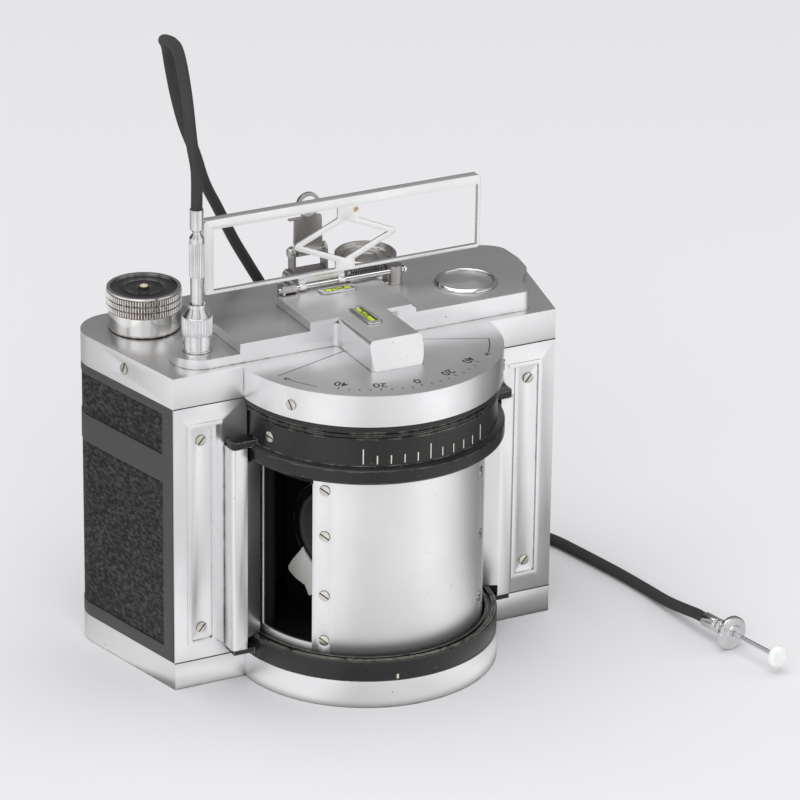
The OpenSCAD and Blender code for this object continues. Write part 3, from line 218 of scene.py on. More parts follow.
def bar(name, low, high):
    """A rectangular piece between two corners in millimetres."""
    bpy.ops.object.select_all(action="DESELECT")
    middle = [(a + b) / 2 * MM for a, b in zip(low, high)]
    bpy.ops.mesh.primitive_cube_add(size=1, location=middle)
    piece = bpy.context.object
    piece.name = name
    piece.scale = [(b - a) * MM for a, b in zip(low, high)]
    return settle(piece)


def join(name, parts):
    """Several pieces made one."""
    bpy.ops.object.select_all(action="DESELECT")
    for part in parts:
        part.select_set(True)
    bpy.context.view_layer.objects.active = parts[0]
    if len(parts) > 1:
        bpy.ops.object.join()
    parts[0].name = name
    return parts[0]


def paint(piece, material):
    piece.data.materials.clear()
    piece.data.materials.append(material)
    return piece


def fit(piece, body, material, slot):
    """Gives a new piece its material and its body; slot is not used."""
    paint(piece, material)
    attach(piece, body)
    return piece


def finished(node, material, edge, segments):
    """A copy of a frame node with its edges broken, which stands for the node."""
    piece = bpy.data.objects.new(node + "_finished", NODES[node].data.copy())
    scene.collection.objects.link(piece)
    only(piece)
    bpy.ops.mesh.customdata_custom_splitnormals_clear()
    edit(piece, lambda: bpy.ops.mesh.remove_doubles(threshold=WELD * MM))
    for choice in CHAMFERS.get(node, ()):
        chamfer(piece, *choice)
    if edge:
        soften(piece, edge, segments)
    else:
        smooth(piece)
    fit(piece, BODY_OF[node], material, SLOT_OF[node])
    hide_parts(node)
    return piece


# Tools for materials

class Nodes:
    """A node tree under construction: short ways to add its nodes and to link them."""

    def __init__(self, tree):
        self.tree = tree

    def new(self, kind):
        return self.tree.nodes.new("ShaderNode" + kind)

    def link(self, out, socket):
        self.tree.links.new(out, socket)

    def fill(self, socket, value):
        """Links a socket where the value is another node's output, and sets it otherwise."""
        if isinstance(value, bpy.types.NodeSocket):
            self.link(value, socket)
        elif socket.type == "RGBA":
            socket.default_value = (*value, 1)
        else:
            socket.default_value = value

    def made(self, kind, result, **values):
        """One output of a new node whose named sockets are filled."""
        node = self.new(kind)
        for name, value in values.items():
            self.fill(node.inputs[name.replace("_", " ").title()], value)
        return node.outputs[result]

    def worked(self, kind, operation, values, result):
        """One output of a new node that works on the values in turn."""
        node = self.new(kind)
        node.operation = operation
        for socket, value in zip(node.inputs, values):
            self.fill(socket, value)
        return node.outputs[result]

    def math(self, operation, *values):
        return self.worked("Math", operation, values, "Value")

    def vector(self, operation, *values, result="Vector"):
        return self.worked("VectorMath", operation, values, result)

    def place(self, scale=(1, 1, 1), rotation=(0, 0, 0), source="Object"):
        """Coordinates on the piece, in metres times scale; rotation is in degrees."""
        coords = self.new("TexCoord").outputs[source]
        turn = [math.radians(a) for a in rotation]
        return self.made("Mapping", "Vector", vector=coords, scale=scale, rotation=turn)

    def along(self, axis):
        """Place on the piece along one axis, in metres."""
        return self.made("SeparateXYZ", axis, vector=self.place())

    def away_from(self, point):
        """Distance in metres from a point given in millimetres."""
        return self.vector("DISTANCE", self.place(), point * MM, result="Value")

    def out_from(self, centre):
        """Distance in metres from the upright line through a point given in millimetres."""
        line = (centre.x * MM, centre.y * MM, 0)
        return self.vector("DISTANCE", self.place((1, 1, 0)), line, result="Value")

    def noise(self, scale, detail=3.0, roughness=0.5, vector=None):
        return self.made("TexNoise", "Fac", scale=scale, detail=detail, roughness=roughness,
                         vector=vector or self.place())

    def ramp(self, value, low, high, start=0.0, end=1.0):
        """value mapped from low..high to start..end, and held there."""
        return self.made("MapRange", "Result", value=value, from_min=low, from_max=high,
                         to_min=start, to_max=end)

    def mix(self, mask, low, high):
        """Colour that goes from low to high with the mask."""
        node = self.new("Mix")
        node.data_type = "RGBA"
        for name, value in (("Factor", mask), ("A", low), ("B", high)):
            self.fill(node.inputs[name], value)
        return node.outputs["Result"]


class Finish(Nodes):
    """A material under construction."""

    def __init__(self, name):
        self.material = bpy.data.materials.new(name)
        self.material.use_nodes = True
        super().__init__(self.material.node_tree)
        self.shader = self.tree.nodes["Principled BSDF"]

    def group(self, group, **values):
        node = self.new("Group")
        node.node_tree = group
        for name, value in values.items():
            node.inputs[name].default_value = value
        return node

    def bump(self, height, distance, strength=1.0):
        """Relief from a height; distance is in millimetres."""
        normal = self.made("Bump", "Normal", strength=strength, distance=distance * MM, height=height)
        self.link(normal, self.shader.inputs["Normal"])

    def set(self, **values):
        for name, value in values.items():
            self.fill(self.shader.inputs[SOCKETS[name]], value)
        return self.material


SOCKETS = {
    "colour": "Base Color", "metal": "Metallic", "rough": "Roughness", "gloss": "Specular IOR Level",
    "coat": "Coat Weight", "coat_rough": "Coat Roughness", "clear": "Transmission Weight",
    "ior": "IOR", "milk": "Subsurface Weight",
}


class Group(Nodes):
    """A shader node group under construction, which takes numbers and gives numbers."""

    def __init__(self, name, outputs, **inputs):
        super().__init__(bpy.data.node_groups.new(name, "ShaderNodeTree"))
        sockets = self.tree.interface
        for label, value in inputs.items():
            socket = sockets.new_socket(label, in_out="INPUT", socket_type="NodeSocketFloat")
            socket.default_value = value
        for label in outputs:
            sockets.new_socket(label, in_out="OUTPUT", socket_type="NodeSocketFloat")
        self.given = self.tree.nodes.new("NodeGroupInput").outputs
        self.result = self.tree.nodes.new("NodeGroupOutput").inputs


def grain_group():
    """Satin grain with faint smudges: a height for bump, and a value for roughness."""
    g = Group("satin_grain", ("Height", "Smudges"), Grain=2600.0, Smudge=60.0)
    g.link(g.noise(g.given["Grain"], 2.0), g.result["Height"])
    g.link(g.noise(g.given["Smudge"], 5.0), g.result["Smudges"])
    return g.tree


def dirt_group():
    """Old dirt and painted shade in the corners where pieces meet, found by occlusion: 1 in a corner, 0 on
    open surfaces.
    """
    g = Group("corner_dirt", ("Mask",), Reach=0.0012, Start=0.35, End=0.6)
    hidden = g.new("AmbientOcclusion")
    hidden.samples = 6
    g.link(g.given["Reach"], hidden.inputs["Distance"])
    dark = g.math("SUBTRACT", 1.0, hidden.outputs["AO"])
    uneven = g.math("MULTIPLY_ADD", g.noise(260.0, 4.0), 0.5, dark)
    start, end = (g.math("ADD", g.given[name], 0.25) for name in ("Start", "End"))
    g.link(g.ramp(uneven, start, end), g.result["Mask"])
    return g.tree


def wear_group():
    """Wear on edges: 1 where handling has rubbed an edge through, 0 elsewhere."""
    g = Group("edge_wear", ("Mask",), Width=0.0004, Patches=300.0, Amount=0.5)
    rounded = g.new("Bevel")
    rounded.samples = 4
    g.link(g.given["Width"], rounded.inputs["Radius"])
    flat = g.new("NewGeometry").outputs["Normal"]
    match = g.vector("DOT_PRODUCT", rounded.outputs["Normal"], flat, result="Value")
    level = g.math("SUBTRACT", 1.0, g.given["Amount"])
    spots = g.ramp(g.noise(g.given["Patches"], 6.0, 0.65), level, g.math("ADD", level, 0.12))
    g.link(g.math("MULTIPLY", g.ramp(match, 0.995, 0.9), spots), g.result["Mask"])
    return g.tree


GRAIN = grain_group()
DIRT_AND_SHADE = dirt_group()
WEAR = wear_group()


# Places taken from the frame, in millimetres

def box_of(node):
    """Lowest and highest corner of a frame node."""
    corners = [NODES[node].matrix_world @ Vector(c) / MM for c in NODES[node].bound_box]
    return (Vector([min(c[i] for c in corners) for i in range(3)]),
            Vector([max(c[i] for c in corners) for i in range(3)]))


def middle_of(node):
    low, high = box_of(node)
    return (low + high) / 2


AXIS = middle_of("drum_shell")
COVER_TOP = box_of("top_cover")[1].z
COVER_LOW = box_of("top_cover")[0].z
PLATFORM = box_of("top_housing")[1].z
LOW_DECK = box_of("badge_rim")[0].z
DRUM_R = (box_of("drum_shell")[1].x - box_of("drum_shell")[0].x) / 2
RING_LIP_R = AXIS.y - box_of("upper_ring")[0].y
RING_FACE_R = RING_LIP_R - 2.6
BASE_RING_R = AXIS.y - box_of("lower_ring")[0].y
DECK_FRONT = AXIS.y + 2
DECK_FRONT_SLACK = 1

# Over its window, above this height and left of this line, the drum is painted black
WINDOW_TOP = AXIS.z + 27
WINDOW_RIGHT = -33.4


def polar(radius, degrees, z):
    """A point round the drum's axis, with degrees from +X."""
    a = math.radians(degrees)
    return (AXIS.x + radius * math.cos(a), AXIS.y + radius * math.sin(a), z)


# Materials

# Brown for the corners: old dirt, and painted shade where pieces meet
CORNER_DIRT_AND_SHADE = (0.13, 0.112, 0.09)
DEEP_BLACK = (0.008, 0.008, 0.009)
RUST_SPOT = Vector((10.2, 21.7, 157.1))


def satin_colour(f, bright, dull, specks, speck_tone):
    """Satin-plated castings: fine grain, faint smudges, dark specks, and brown dirt with painted shade in
    the corners.
    """
    grain = f.group(GRAIN, Grain=2200.0, Smudge=45.0)
    dirt_and_shade = f.group(DIRT_AND_SHADE, Reach=0.0011, Start=0.34)
    smudges = grain.outputs["Smudges"]
    f.bump(grain.outputs["Height"], 0.012, 0.5)
    spotted = f.mix(specks, f.mix(f.ramp(smudges, 0.3, 0.7), bright, dull), speck_tone)
    return f.mix(dirt_and_shade.outputs["Mask"], spotted, CORNER_DIRT_AND_SHADE), smudges


def satin_silver():
    """Satin silver of the covers, the deck, the front panels, the guards and the locks."""
    f = Finish("satin_silver")
    specks = f.ramp(f.noise(700.0, 2.0, 0.4), 0.775, 0.785)
    colour, smudges = satin_colour(f, (0.90, 0.90, 0.908), (0.84, 0.84, 0.848), specks, (0.30, 0.27, 0.23))
    return f.set(colour=colour, metal=0.97, rough=f.ramp(smudges, 0.3, 0.7, 0.27, 0.36))


def drum_silver():
    """The drum's satin silver outside, black paint inside it and above its window."""
    f = Finish("drum_silver")
    specks = f.ramp(f.noise(900.0, 2.0, 0.4), 0.775, 0.79, 0.0, 0.7)
    outer, smudges = satin_colour(f, (0.92, 0.92, 0.925), (0.86, 0.86, 0.865), specks, (0.35, 0.33, 0.30))
    above = f.math("MULTIPLY", f.math("GREATER_THAN", f.along("Z"), WINDOW_TOP * MM),
                   f.math("LESS_THAN", f.along("X"), WINDOW_RIGHT * MM))
    inner = f.ramp(f.out_from(AXIS), (DRUM_R - 0.5) * MM, (DRUM_R - 0.45) * MM, 1.0, 0.0)
    black = f.math("MAXIMUM", above, inner)
    rough = f.math("MAXIMUM", f.ramp(smudges, 0.3, 0.7, 0.36, 0.42), black)
    return f.set(colour=f.mix(black, outer, DEEP_BLACK), metal=f.ramp(black, 0, 1, 0.97, 0.0), rough=rough)


def black_enamel(name, amount):
    """Semi-gloss black enamel, rubbed through to bright metal on its ridges."""
    f = Finish(name)
    wear = f.group(WEAR, Width=0.0004, Patches=240.0, Amount=amount).outputs["Mask"]
    grain = f.group(GRAIN, Grain=900.0, Smudge=120.0)
    smudges = grain.outputs["Smudges"]
    f.bump(grain.outputs["Height"], 0.02, 0.5)
    black = f.mix(smudges, (0.004, 0.004, 0.0045), (0.012, 0.0115, 0.011))
    dusty = f.mix(f.ramp(f.noise(1500.0, 2.0), 0.73, 0.76), black, (0.2, 0.18, 0.14))
    return f.set(colour=f.mix(wear, dusty, (0.55, 0.52, 0.45)), metal=wear,
                 rough=f.ramp(smudges, 0.2, 0.8, 0.22, 0.42))


def frame_black():
    """Dull black lacquer on the back and the frame."""
    f = Finish("frame_black")
    grain = f.group(GRAIN, Grain=1800.0, Smudge=80.0)
    smudges = grain.outputs["Smudges"]
    f.bump(grain.outputs["Height"], 0.015, 0.5)
    return f.set(colour=f.mix(smudges, (0.035, 0.035, 0.037), (0.06, 0.059, 0.06)),
                 rough=f.ramp(smudges, 0.2, 0.8, 0.42, 0.56))


def flat_black():
    """Matt black inside the drum and the film chamber."""
    f = Finish("flat_black")
    grain = f.group(GRAIN, Grain=1500.0)
    f.bump(grain.outputs["Height"], 0.02, 0.6)
    return f.set(colour=DEEP_BLACK, rough=0.75, gloss=0.2)


def pebbled_leather():
    """Black leather with a fine pebble and short creases."""
    f = Finish("pebbled_leather")
    bent = f.vector("MULTIPLY_ADD", f.noise(260.0), (0.0012, 0.0009, 0.0012), f.place())
    cells = f.new("TexVoronoi")
    cells.feature = "SMOOTH_F1"
    cells.inputs["Scale"].default_value = 520.0
    cells.inputs["Smoothness"].default_value = 0.4
    f.link(bent, cells.inputs["Vector"])
    pebble = f.ramp(cells.outputs["Distance"], 0.05, 0.75, 1.0, 0.0)
    creases = f.ramp(f.noise(1.0, 5.0, 0.6, f.place((460.0, 460.0, 860.0), (40, 40, 0))), 0.4, 0.6)
    height = f.math("ADD", f.math("MULTIPLY", pebble, 0.4), f.math("MULTIPLY", creases, 0.9))
    height = f.math("ADD", height, f.math("MULTIPLY", f.noise(2600.0), 0.18))
    f.bump(height, 0.5)
    return f.set(colour=f.mix(f.ramp(height, 0.35, 1.3), (0.004, 0.004, 0.0045), (0.05, 0.049, 0.048)),
                 gloss=0.4, rough=f.ramp(height, 0.2, 1.2, 0.62, 0.46))


def plating(name, colour, rough, dirt_and_shade=0.5):
    """Bright or dull plating with fine scratches, and a little tarnish and painted shade in the corners and
    screw slots.
    """
    f = Finish(name)
    grain = f.group(GRAIN, Grain=3200.0, Smudge=150.0)
    corner = f.group(DIRT_AND_SHADE, Reach=0.0007, Start=dirt_and_shade).outputs["Mask"]
    smudges = grain.outputs["Smudges"]
    f.bump(grain.outputs["Height"], 0.006, 0.5)
    dull = f.mix(f.ramp(smudges, 0.35, 0.75), colour, tuple(c * 0.82 for c in colour))
    return f.set(colour=f.mix(corner, dull, (0.1, 0.075, 0.05)), metal=1.0,
                 rough=f.ramp(smudges, 0.3, 0.75, rough, rough * 1.9))


def knob_chrome():
    """Polished nickel of the winding knob, darker brown between the teeth and at its foot."""
    f = Finish("knob_chrome")
    grain = f.group(GRAIN, Grain=3200.0, Smudge=150.0)
    f.bump(grain.outputs["Height"], 0.006, 0.5)
    low, high = box_of("wind_knob")
    knob_r = (high.x - low.x) / 2
    valley = f.ramp(f.out_from(middle_of("wind_knob")), (knob_r - 0.42) * MM, (knob_r - 0.12) * MM, 1.0, 0.0)
    level = f.along("Z")
    band = f.math("MULTIPLY", f.ramp(level, (high.z - 8.1) * MM, (high.z - 7.9) * MM),
                  f.ramp(level, (high.z - 0.75) * MM, (high.z - 0.7) * MM, 1.0, 0.0))
    foot = f.ramp(level, (low.z + 0.1) * MM, (low.z + 0.9) * MM, 1.0, 0.0)
    darker_valleys_and_foot = f.math("MAXIMUM", f.math("MULTIPLY", valley, band), foot)
    patchy = f.math("MULTIPLY", darker_valleys_and_foot, f.ramp(f.noise(900.0), 0.3, 0.55, 0.55, 1.0))
    return f.set(colour=f.mix(patchy, (0.86, 0.85, 0.83), (0.10, 0.07, 0.04)),
                 metal=f.ramp(patchy, 0, 1, 1.0, 0.4), rough=f.ramp(patchy, 0, 1, 0.14, 0.5))


def knob_black():
    """Glossy black of the knob's disc, turned in fine rings."""
    f = Finish("knob_black")
    rings = f.math("SINE", f.math("MULTIPLY", f.out_from(middle_of("wind_knob")), 9500.0))
    f.bump(rings, 0.02, 0.7)
    tint = f.mix(f.noise(260.0), (0.004, 0.004, 0.004), (0.02, 0.018, 0.016))
    return f.set(colour=tint, rough=0.16, coat=0.5, coat_rough=0.08)


def ring_and_lever():
    """The black aperture ring, and in front of it the dull white plating of its lever."""
    f = Finish("ring_and_lever")
    grain = f.group(GRAIN, Grain=2000.0, Smudge=200.0)
    f.bump(grain.outputs["Height"], 0.01, 0.5)
    lens = middle_of("lens_front")
    outward = Vector((lens.x - AXIS.x, lens.y - AXIS.y, 0)).normalized()
    front = max(v.co.dot(outward) for v in NODES["aperture_ring"].data.vertices)
    ahead = f.vector("DOT_PRODUCT", f.place(), outward, result="Value")
    lever = f.ramp(ahead, front - 0.75 * MM, front - 0.7 * MM)
    white = f.mix(grain.outputs["Smudges"], (0.97, 0.96, 0.93), (0.84, 0.82, 0.78))
    wear = f.group(WEAR, Width=0.0003, Patches=200.0, Amount=0.56).outputs["Mask"]
    black = f.mix(wear, (0.006, 0.006, 0.006), (0.5, 0.49, 0.47))
    return f.set(colour=f.mix(lever, black, white), metal=0.0, rough=0.36)


def woven_cover():
    """Black braid over the cable: two sets of fine yarns that cross."""
    f = Finish("woven_cover")
    yarns = []
    for turn in (38, -38):
        strip = f.place((260.0, 5.0, 1.0), (0, 0, turn), "UV")
        yarns.append(f.made("TexWave", "Fac", scale=5.0, distortion=0.6, detail=1.0, vector=strip))
    height = f.math("ADD", f.math("MAXIMUM", *yarns), f.math("MULTIPLY", f.noise(5200.0), 0.35))
    f.bump(height, 0.16, 0.9)
    return f.set(colour=f.mix(height, (0.004, 0.004, 0.0045), (0.05, 0.05, 0.051)), rough=0.5, gloss=0.5)


def coated_glass():
    """Lens glass with a faint blue and violet coating."""
    f = Finish("coated_glass")
    tint = f.mix(f.noise(30.0), (0.80, 0.86, 0.95), (0.88, 0.84, 0.95))
    return f.set(colour=tint, rough=0.02, clear=1.0, ior=1.52, coat=0.6, coat_rough=0.02)


def green_spirit():
    """Spirit of the levels: a clear yellow-green."""
    f = Finish("green_spirit")
    tint = f.mix(f.noise(220.0), (0.72, 0.80, 0.04), (0.55, 0.68, 0.02))
    return f.set(colour=tint, rough=0.08, clear=0.35, ior=1.36, coat=0.8, coat_rough=0.03)


def milky_button():
    """Milky white plastic of the plunger's button."""
    f = Finish("milky_button")
    tint = f.mix(f.noise(240.0), (0.86, 0.82, 0.80), (0.78, 0.72, 0.70))
    return f.set(colour=tint, rough=0.28, milk=0.3, coat=0.5, coat_rough=0.1)


def finder_finish():
    """Satin nickel of the finder, with one rubbed and rusty spot on its top bar."""
    f = Finish("finder_nickel")
    grain = f.group(GRAIN, Grain=2600.0, Smudge=90.0)
    # Old dirt and painted shade in the finder's corners, from the occlusion group
    corner = f.group(DIRT_AND_SHADE, Reach=0.0007, Start=0.45).outputs["Mask"]
    smudges = grain.outputs["Smudges"]
    f.bump(grain.outputs["Height"], 0.006, 0.5)
    uneven = f.math("ADD", f.away_from(RUST_SPOT), f.math("MULTIPLY", f.noise(1500.0), 0.0012))
    rust = f.ramp(uneven, 0.0011, 0.0021, 1.0, 0.0)
    clean = f.mix(smudges, (0.88, 0.878, 0.87), (0.80, 0.798, 0.79))
    worn = f.mix(rust, clean, (0.42, 0.24, 0.10))
    return f.set(colour=f.mix(corner, worn, (0.14, 0.11, 0.08)), metal=f.ramp(rust, 0, 1, 0.86, 0.3),
                 rough=f.ramp(smudges, 0.3, 0.7, 0.24, 0.36))


def engraving(name, colour):
    """Paint in an engraved line."""
    f = Finish(name)
    tint = f.mix(f.noise(900.0), colour, tuple(c * 0.7 for c in colour))
    return f.set(colour=tint, rough=0.6)


def brass(name, stain_scale, detail, clean, stained, metal, rough):
    """Stained brass; rough gives the roughness where it is clean and where it is stained."""
    f = Finish(name)
    stain = f.ramp(f.noise(stain_scale, detail), 0.35, 0.7)
    grain = f.group(GRAIN, Grain=3000.0)
    f.bump(grain.outputs["Height"], 0.006, 0.5)
    return f.set(colour=f.mix(stain, clean, stained), metal=metal, rough=f.ramp(stain, 0, 1, *rough))


SILVER = satin_silver()
DRUM_SILVER = drum_silver()
ENAMEL = black_enamel("black_enamel", 0.53)
WORN_ENAMEL = black_enamel("worn_enamel", 0.6)
FRAME_BLACK = frame_black()
FLAT_BLACK = flat_black()
LEATHER = pebbled_leather()
CHROME = plating("bright_chrome", (0.83, 0.83, 0.84), 0.1)
STEEL = plating("dull_steel", (0.56, 0.54, 0.52), 0.24)
KNOB_CHROME = knob_chrome()
KNOB_BLACK = knob_black()
RING_AND_LEVER = ring_and_lever()
PLATE = plating("badge_nickel", (0.80, 0.785, 0.78), 0.26)
FINDER_NICKEL = finder_finish()
SCREW = plating("screw_steel", (0.74, 0.71, 0.64), 0.2, 0.22)
BRASS = brass("aged_brass", 330.0, 5.0, (0.78, 0.72, 0.58), (0.60, 0.48, 0.30), 1.0, (0.24, 0.42))
PALE_BRASS = brass("pale_brass", 800.0, 4.0, (0.95, 0.86, 0.66), (0.70, 0.56, 0.34), 0.55, (0.2, 0.4))
BRAID = woven_cover()
GLASS = coated_glass()
SPIRIT = green_spirit()
MILK = milky_button()
INK = engraving("engraved_black", (0.02, 0.02, 0.02))
CREAM = engraving("cream_fill", (0.78, 0.72, 0.62))
OLIVE = engraving("bubble_edge", (0.10, 0.09, 0.01))


# Finished copies of the frame's nodes

NEAR = 0.05
PLATFORM_RIGHT = 20.5
NOSE_LEFT = -10
BULGE_SIDE = 46
BORES = (middle_of("wind_knob"), middle_of("release_socket"))
BORE_CLEAR = 9
BASE_OPENINGS = ((0, 0), (-32, 42.5), (32, 42.5))
BASE_CLEAR = 12


def cover_edge(x, y, z):
    """The upper edge of the cover, away from its bulge and from its two bores."""
    clear = all(math.hypot(x - bore.x, y - bore.y) > BORE_CLEAR for bore in BORES)
    return z > COVER_TOP - NEAR and abs(x) > BULGE_SIDE and clear


def base_edge(x, y, z):
    """The base's outer lower edge, away from the tripod bush and the two locks."""
    return z < NEAR and all(math.hypot(x - a, y - b) > BASE_CLEAR for a, b in BASE_OPENINGS)


def platform_side(x, y, z):
    """The right upper edge of the deck's platform."""
    return abs(z - PLATFORM) < NEAR and abs(x - PLATFORM_RIGHT) < NEAR


def deck_front(x, y, z):
    """The front upper edge of the deck to the right of the platform."""
    return abs(z - LOW_DECK) < NEAR and y < DECK_FRONT + DECK_FRONT_SLACK and x > PLATFORM_RIGHT - NEAR


def platform_front(x, y, z):
    """The platform's front upper edge, to the left of its nose."""
    return abs(z - PLATFORM) < NEAR and y < DECK_FRONT + 2 * NEAR and x < NOSE_LEFT


# Edges to break, width in millimetres, segments
CHAMFERS = {
    "top_cover": [(cover_edge, 1.6, 1)],
    "bottom_cover": [(base_edge, 1.8, 4)],
    "top_housing": [(platform_side, 2.4, 6), (deck_front, 1.9, 4), (platform_front, 1.0, 3)],
}

# Node, material, width of its broken edges in millimetres (0 leaves them sharp), segments
FINISHES = [
    ("top_cover", SILVER, 0.55, 3), ("top_housing", SILVER, 0.75, 3), ("bottom_cover", SILVER, 0.6, 3),
    ("front_panel_left", SILVER, 0.3, 2), ("front_panel_right", SILVER, 0.3, 2),
    ("guard_left", SILVER, 0.35, 2), ("guard_right", SILVER, 0.35, 2), ("drum_shell", DRUM_SILVER, 0.15, 2),
    ("upper_ring", ENAMEL, 0.12, 2), ("lower_ring", WORN_ENAMEL, 0.15, 2), ("main_frame", FLAT_BLACK, 0, 0),
    ("back_cover", FRAME_BLACK, 0.25, 2), ("leather_panels", LEATHER, 0.3, 3),
    ("cover_screws", SCREW, 0.12, 2), ("panel_screws", SCREW, 0.12, 2), ("ring_screws", SCREW, 0.12, 2),
    ("drum_screws", SCREW, 0.12, 2), ("level_bezels", CHROME, 0.15, 2), ("badge_rim", CHROME, 0.2, 2),
    ("badge_plate", PLATE, 0.1, 2), ("hinge_bracket", STEEL, 0, 0), ("hinge_rod", CHROME, 0.12, 2),
    ("hinge_spring", FRAME_BLACK, 0, 0), ("sight_pin", CHROME, 0.15, 2),
    ("release_socket", CHROME, 0.25, 2), ("tripod_bush", BRASS, 0.2, 2),
    ("pressure_plate", FRAME_BLACK, 0.15, 2), ("pressure_springs", STEEL, 0, 0),
    ("drum_discs", FLAT_BLACK, 0.2, 2), ("drum_posts", FLAT_BLACK, 0, 0),
    ("lens_board", FLAT_BLACK, 0.2, 2), ("lens_barrel", FRAME_BLACK, 0.12, 2),
    ("lens_tunnel", FLAT_BLACK, 0, 0), ("aperture_ring", RING_AND_LEVER, 0.2, 2),
    ("wind_knob", KNOB_CHROME, 0, 0), ("wind_disc", KNOB_BLACK, 0.06, 2), ("wind_shaft", STEEL, 0.1, 2),
    ("take_up_spool", FRAME_BLACK, 0.15, 2), ("supply_spool", FRAME_BLACK, 0.15, 2),
    ("roller_left", CHROME, 0.2, 2), ("roller_right", CHROME, 0.2, 2), ("dial", STEEL, 0.12, 2),
    ("finder_frame", FINDER_NICKEL, 0.14, 2), ("rear_sight", STEEL, 0.12, 2), ("cable_nut", CHROME, 0.1, 2),
    ("cable_ferrule", CHROME, 0.08, 2), ("end_ferrule", CHROME, 0.12, 2), ("finger_disc", CHROME, 0.15, 2),
    ("plunger_rod", CHROME, 0, 0), ("plunger_button", MILK, 0.25, 3), ("back_lock_left", SILVER, 0.2, 2),
    ("back_lock_right", SILVER, 0.2, 2), ("spool_pins", STEEL, 0.15, 2), ("drum_bushes", BRASS, 0.1, 2),
    ("release_pin", STEEL, 0, 0), ("lens_front", GLASS, 0.1, 2), ("lens_rear", GLASS, 0.1, 2),
    ("level_vials", SPIRIT, 0.2, 2),
]
pieces = {node: finished(node, material, edge, steps) for node, material, edge, steps in FINISHES}


# Engraved and inlaid marks: millimetres, and degrees round the drum's axis from +X

SCALE_R = 43.1
SCALE_FROM, SCALE_TO = -130, -50
TICK, LONG_TICK = 1.2, 2.0
NUMBER_R = 36.8
NUMBER_SIZE = 5.0
SIGHT_LINES = [((11.3, -161.6), (SCALE_R, -161.6)), ((19.8, -16.3), (SCALE_R, -20.6))]
ARROWS = [(-140.1, -158.1), (-20.6, -41.4)]
STROKES = [-118 + 6 * i for i in range(11)]
STROKE_LOW = COVER_LOW - 14.6
STROKE, LONG_STROKE = 3.2, 5.6
INDEX_MARK = (-102.4, 10.9, 12.6)
WINDOW_EDGE = (-174.9, 9.5, 70.5)
RIDGE_ENDS = (-165, -15)
UPPER_RIDGES_BELOW_COVER = (0.9, 1.7, 5.3)
LOWER_RIDGES_INSIDE_RIM = (0.7, 1.5)
PANEL_NEAR, PANEL_FAR = 47, 75.1
DIAL_RING = (7.9, 9.2)
DIAL_DEPTH = 1.7
KNOB_BOSS = [(1.5, -0.85), (1.5, 0.2), (1.2, 0.36), (0.75, 0.36), (0.65, 0.16), (0, 0.12)]
BRACKET_SCREW = Vector((7.0, 34.5, LOW_DECK + 1))
SCREW_DOME = [(1.3, 0), (1.3, 0.25), (1.1, 0.5), (0.6, 0.66), (0, 0.7)]
LEVELS = [(-0.7, AXIS.y - 0.5, (0, 1)), (1.2, AXIS.y + 25.4, (1, 0))]
VIAL_R = 1.15
VIAL_Z = PLATFORM - 0.35
LINE_OFFSET = 2.2
JOINT_OUT = 1.2
BUBBLE_OFFSET, BUBBLE_LENGTH, BUBBLE_WIDTH = 0.4, 1.7, 0.72

# Share of its height that a line on a level surface keeps
PRESSED = 0.12


def upright(radius, angle, low, high):
    return [polar(radius, angle, low), polar(radius, angle, high)]


def arc(radius, start, end, z, steps=14):
    return [polar(radius, start + (end - start) * i / steps, z) for i in range(steps + 1)]


def arrowhead(radius, tip, z):
    """Two strokes that end at the tip of an arc."""
    return [[polar(radius + side * 1.1, tip + 2.8, z), polar(radius, tip, z)] for side in (-1, 1)]


def housing_marks():
    """The two sight lines of the covered angle, their arrows, and a plain scale of degrees."""
    z = COVER_TOP
    lines = [[polar(radius, angle, z) for radius, angle in line] for line in SIGHT_LINES]
    lines += [arc(SCALE_R, start, tip, z) for start, tip in ARROWS]
    for _, tip in ARROWS:
        lines += arrowhead(SCALE_R, tip, z)
    for angle in range(SCALE_FROM, SCALE_TO + 1, 5):
        length = TICK if (angle - SCALE_FROM) % 20 else LONG_TICK
        lines.append([polar(SCALE_R - length, angle, z), polar(SCALE_R, angle, z)])
    inlay("housing_marks", lines, 0.4, "camera", INK, "satin_silver", flat=PRESSED)


def degree_numbers():
    """Plain degrees along the scale, readable from behind the camera."""
    parts = []
    for angle in range(SCALE_FROM, SCALE_TO + 1, 20):
        bpy.ops.object.select_all(action="DESELECT")
        bpy.ops.object.text_add()
        word = bpy.context.object
        word.data.body = str(abs(angle + 90))
        word.data.align_x = "CENTER"
        word.data.size = NUMBER_SIZE * MM
        word.data.offset = 0.07 * MM
        word.data.extrude = 0.02 * MM
        bpy.ops.object.convert(target="MESH")
        word = bpy.context.object
        turn = Matrix.Rotation(math.radians(angle - 90), 4, "Z")
        word.matrix_world = Matrix.Translation(Vector(polar(NUMBER_R, angle, COVER_TOP)) * MM) @ turn
        parts.append(settle(word))
    fit(join("degree_numbers", parts), "camera", INK, "satin_silver")


def ring_marks():
    """Plain cream strokes on the upper ring, and the index mark on the lower one."""
    strokes = []
    for i, angle in enumerate(STROKES):
        height = STROKE if i % 5 else LONG_STROKE
        strokes.append(upright(RING_FACE_R - 0.2, angle, STROKE_LOW, STROKE_LOW + height))
    inlay("ring_marks", strokes, 0.62, "camera", CREAM, "black_enamel")
    mark = upright(BASE_RING_R - 0.45, *INDEX_MARK)
    inlay("index_mark", [mark], 1.3, "camera", CREAM, "black_enamel")


def window_edge():
    """The bare edge of the drum's window, which catches the light."""
    foot = box_of("drum_shell")[0].z
    angle, low, high = WINDOW_EDGE
    edge = upright(DRUM_R - 0.1, angle, foot + low, foot + high)
    inlay("window_edge", [edge], 0.34, "drum", PALE_BRASS, "bare_brass")


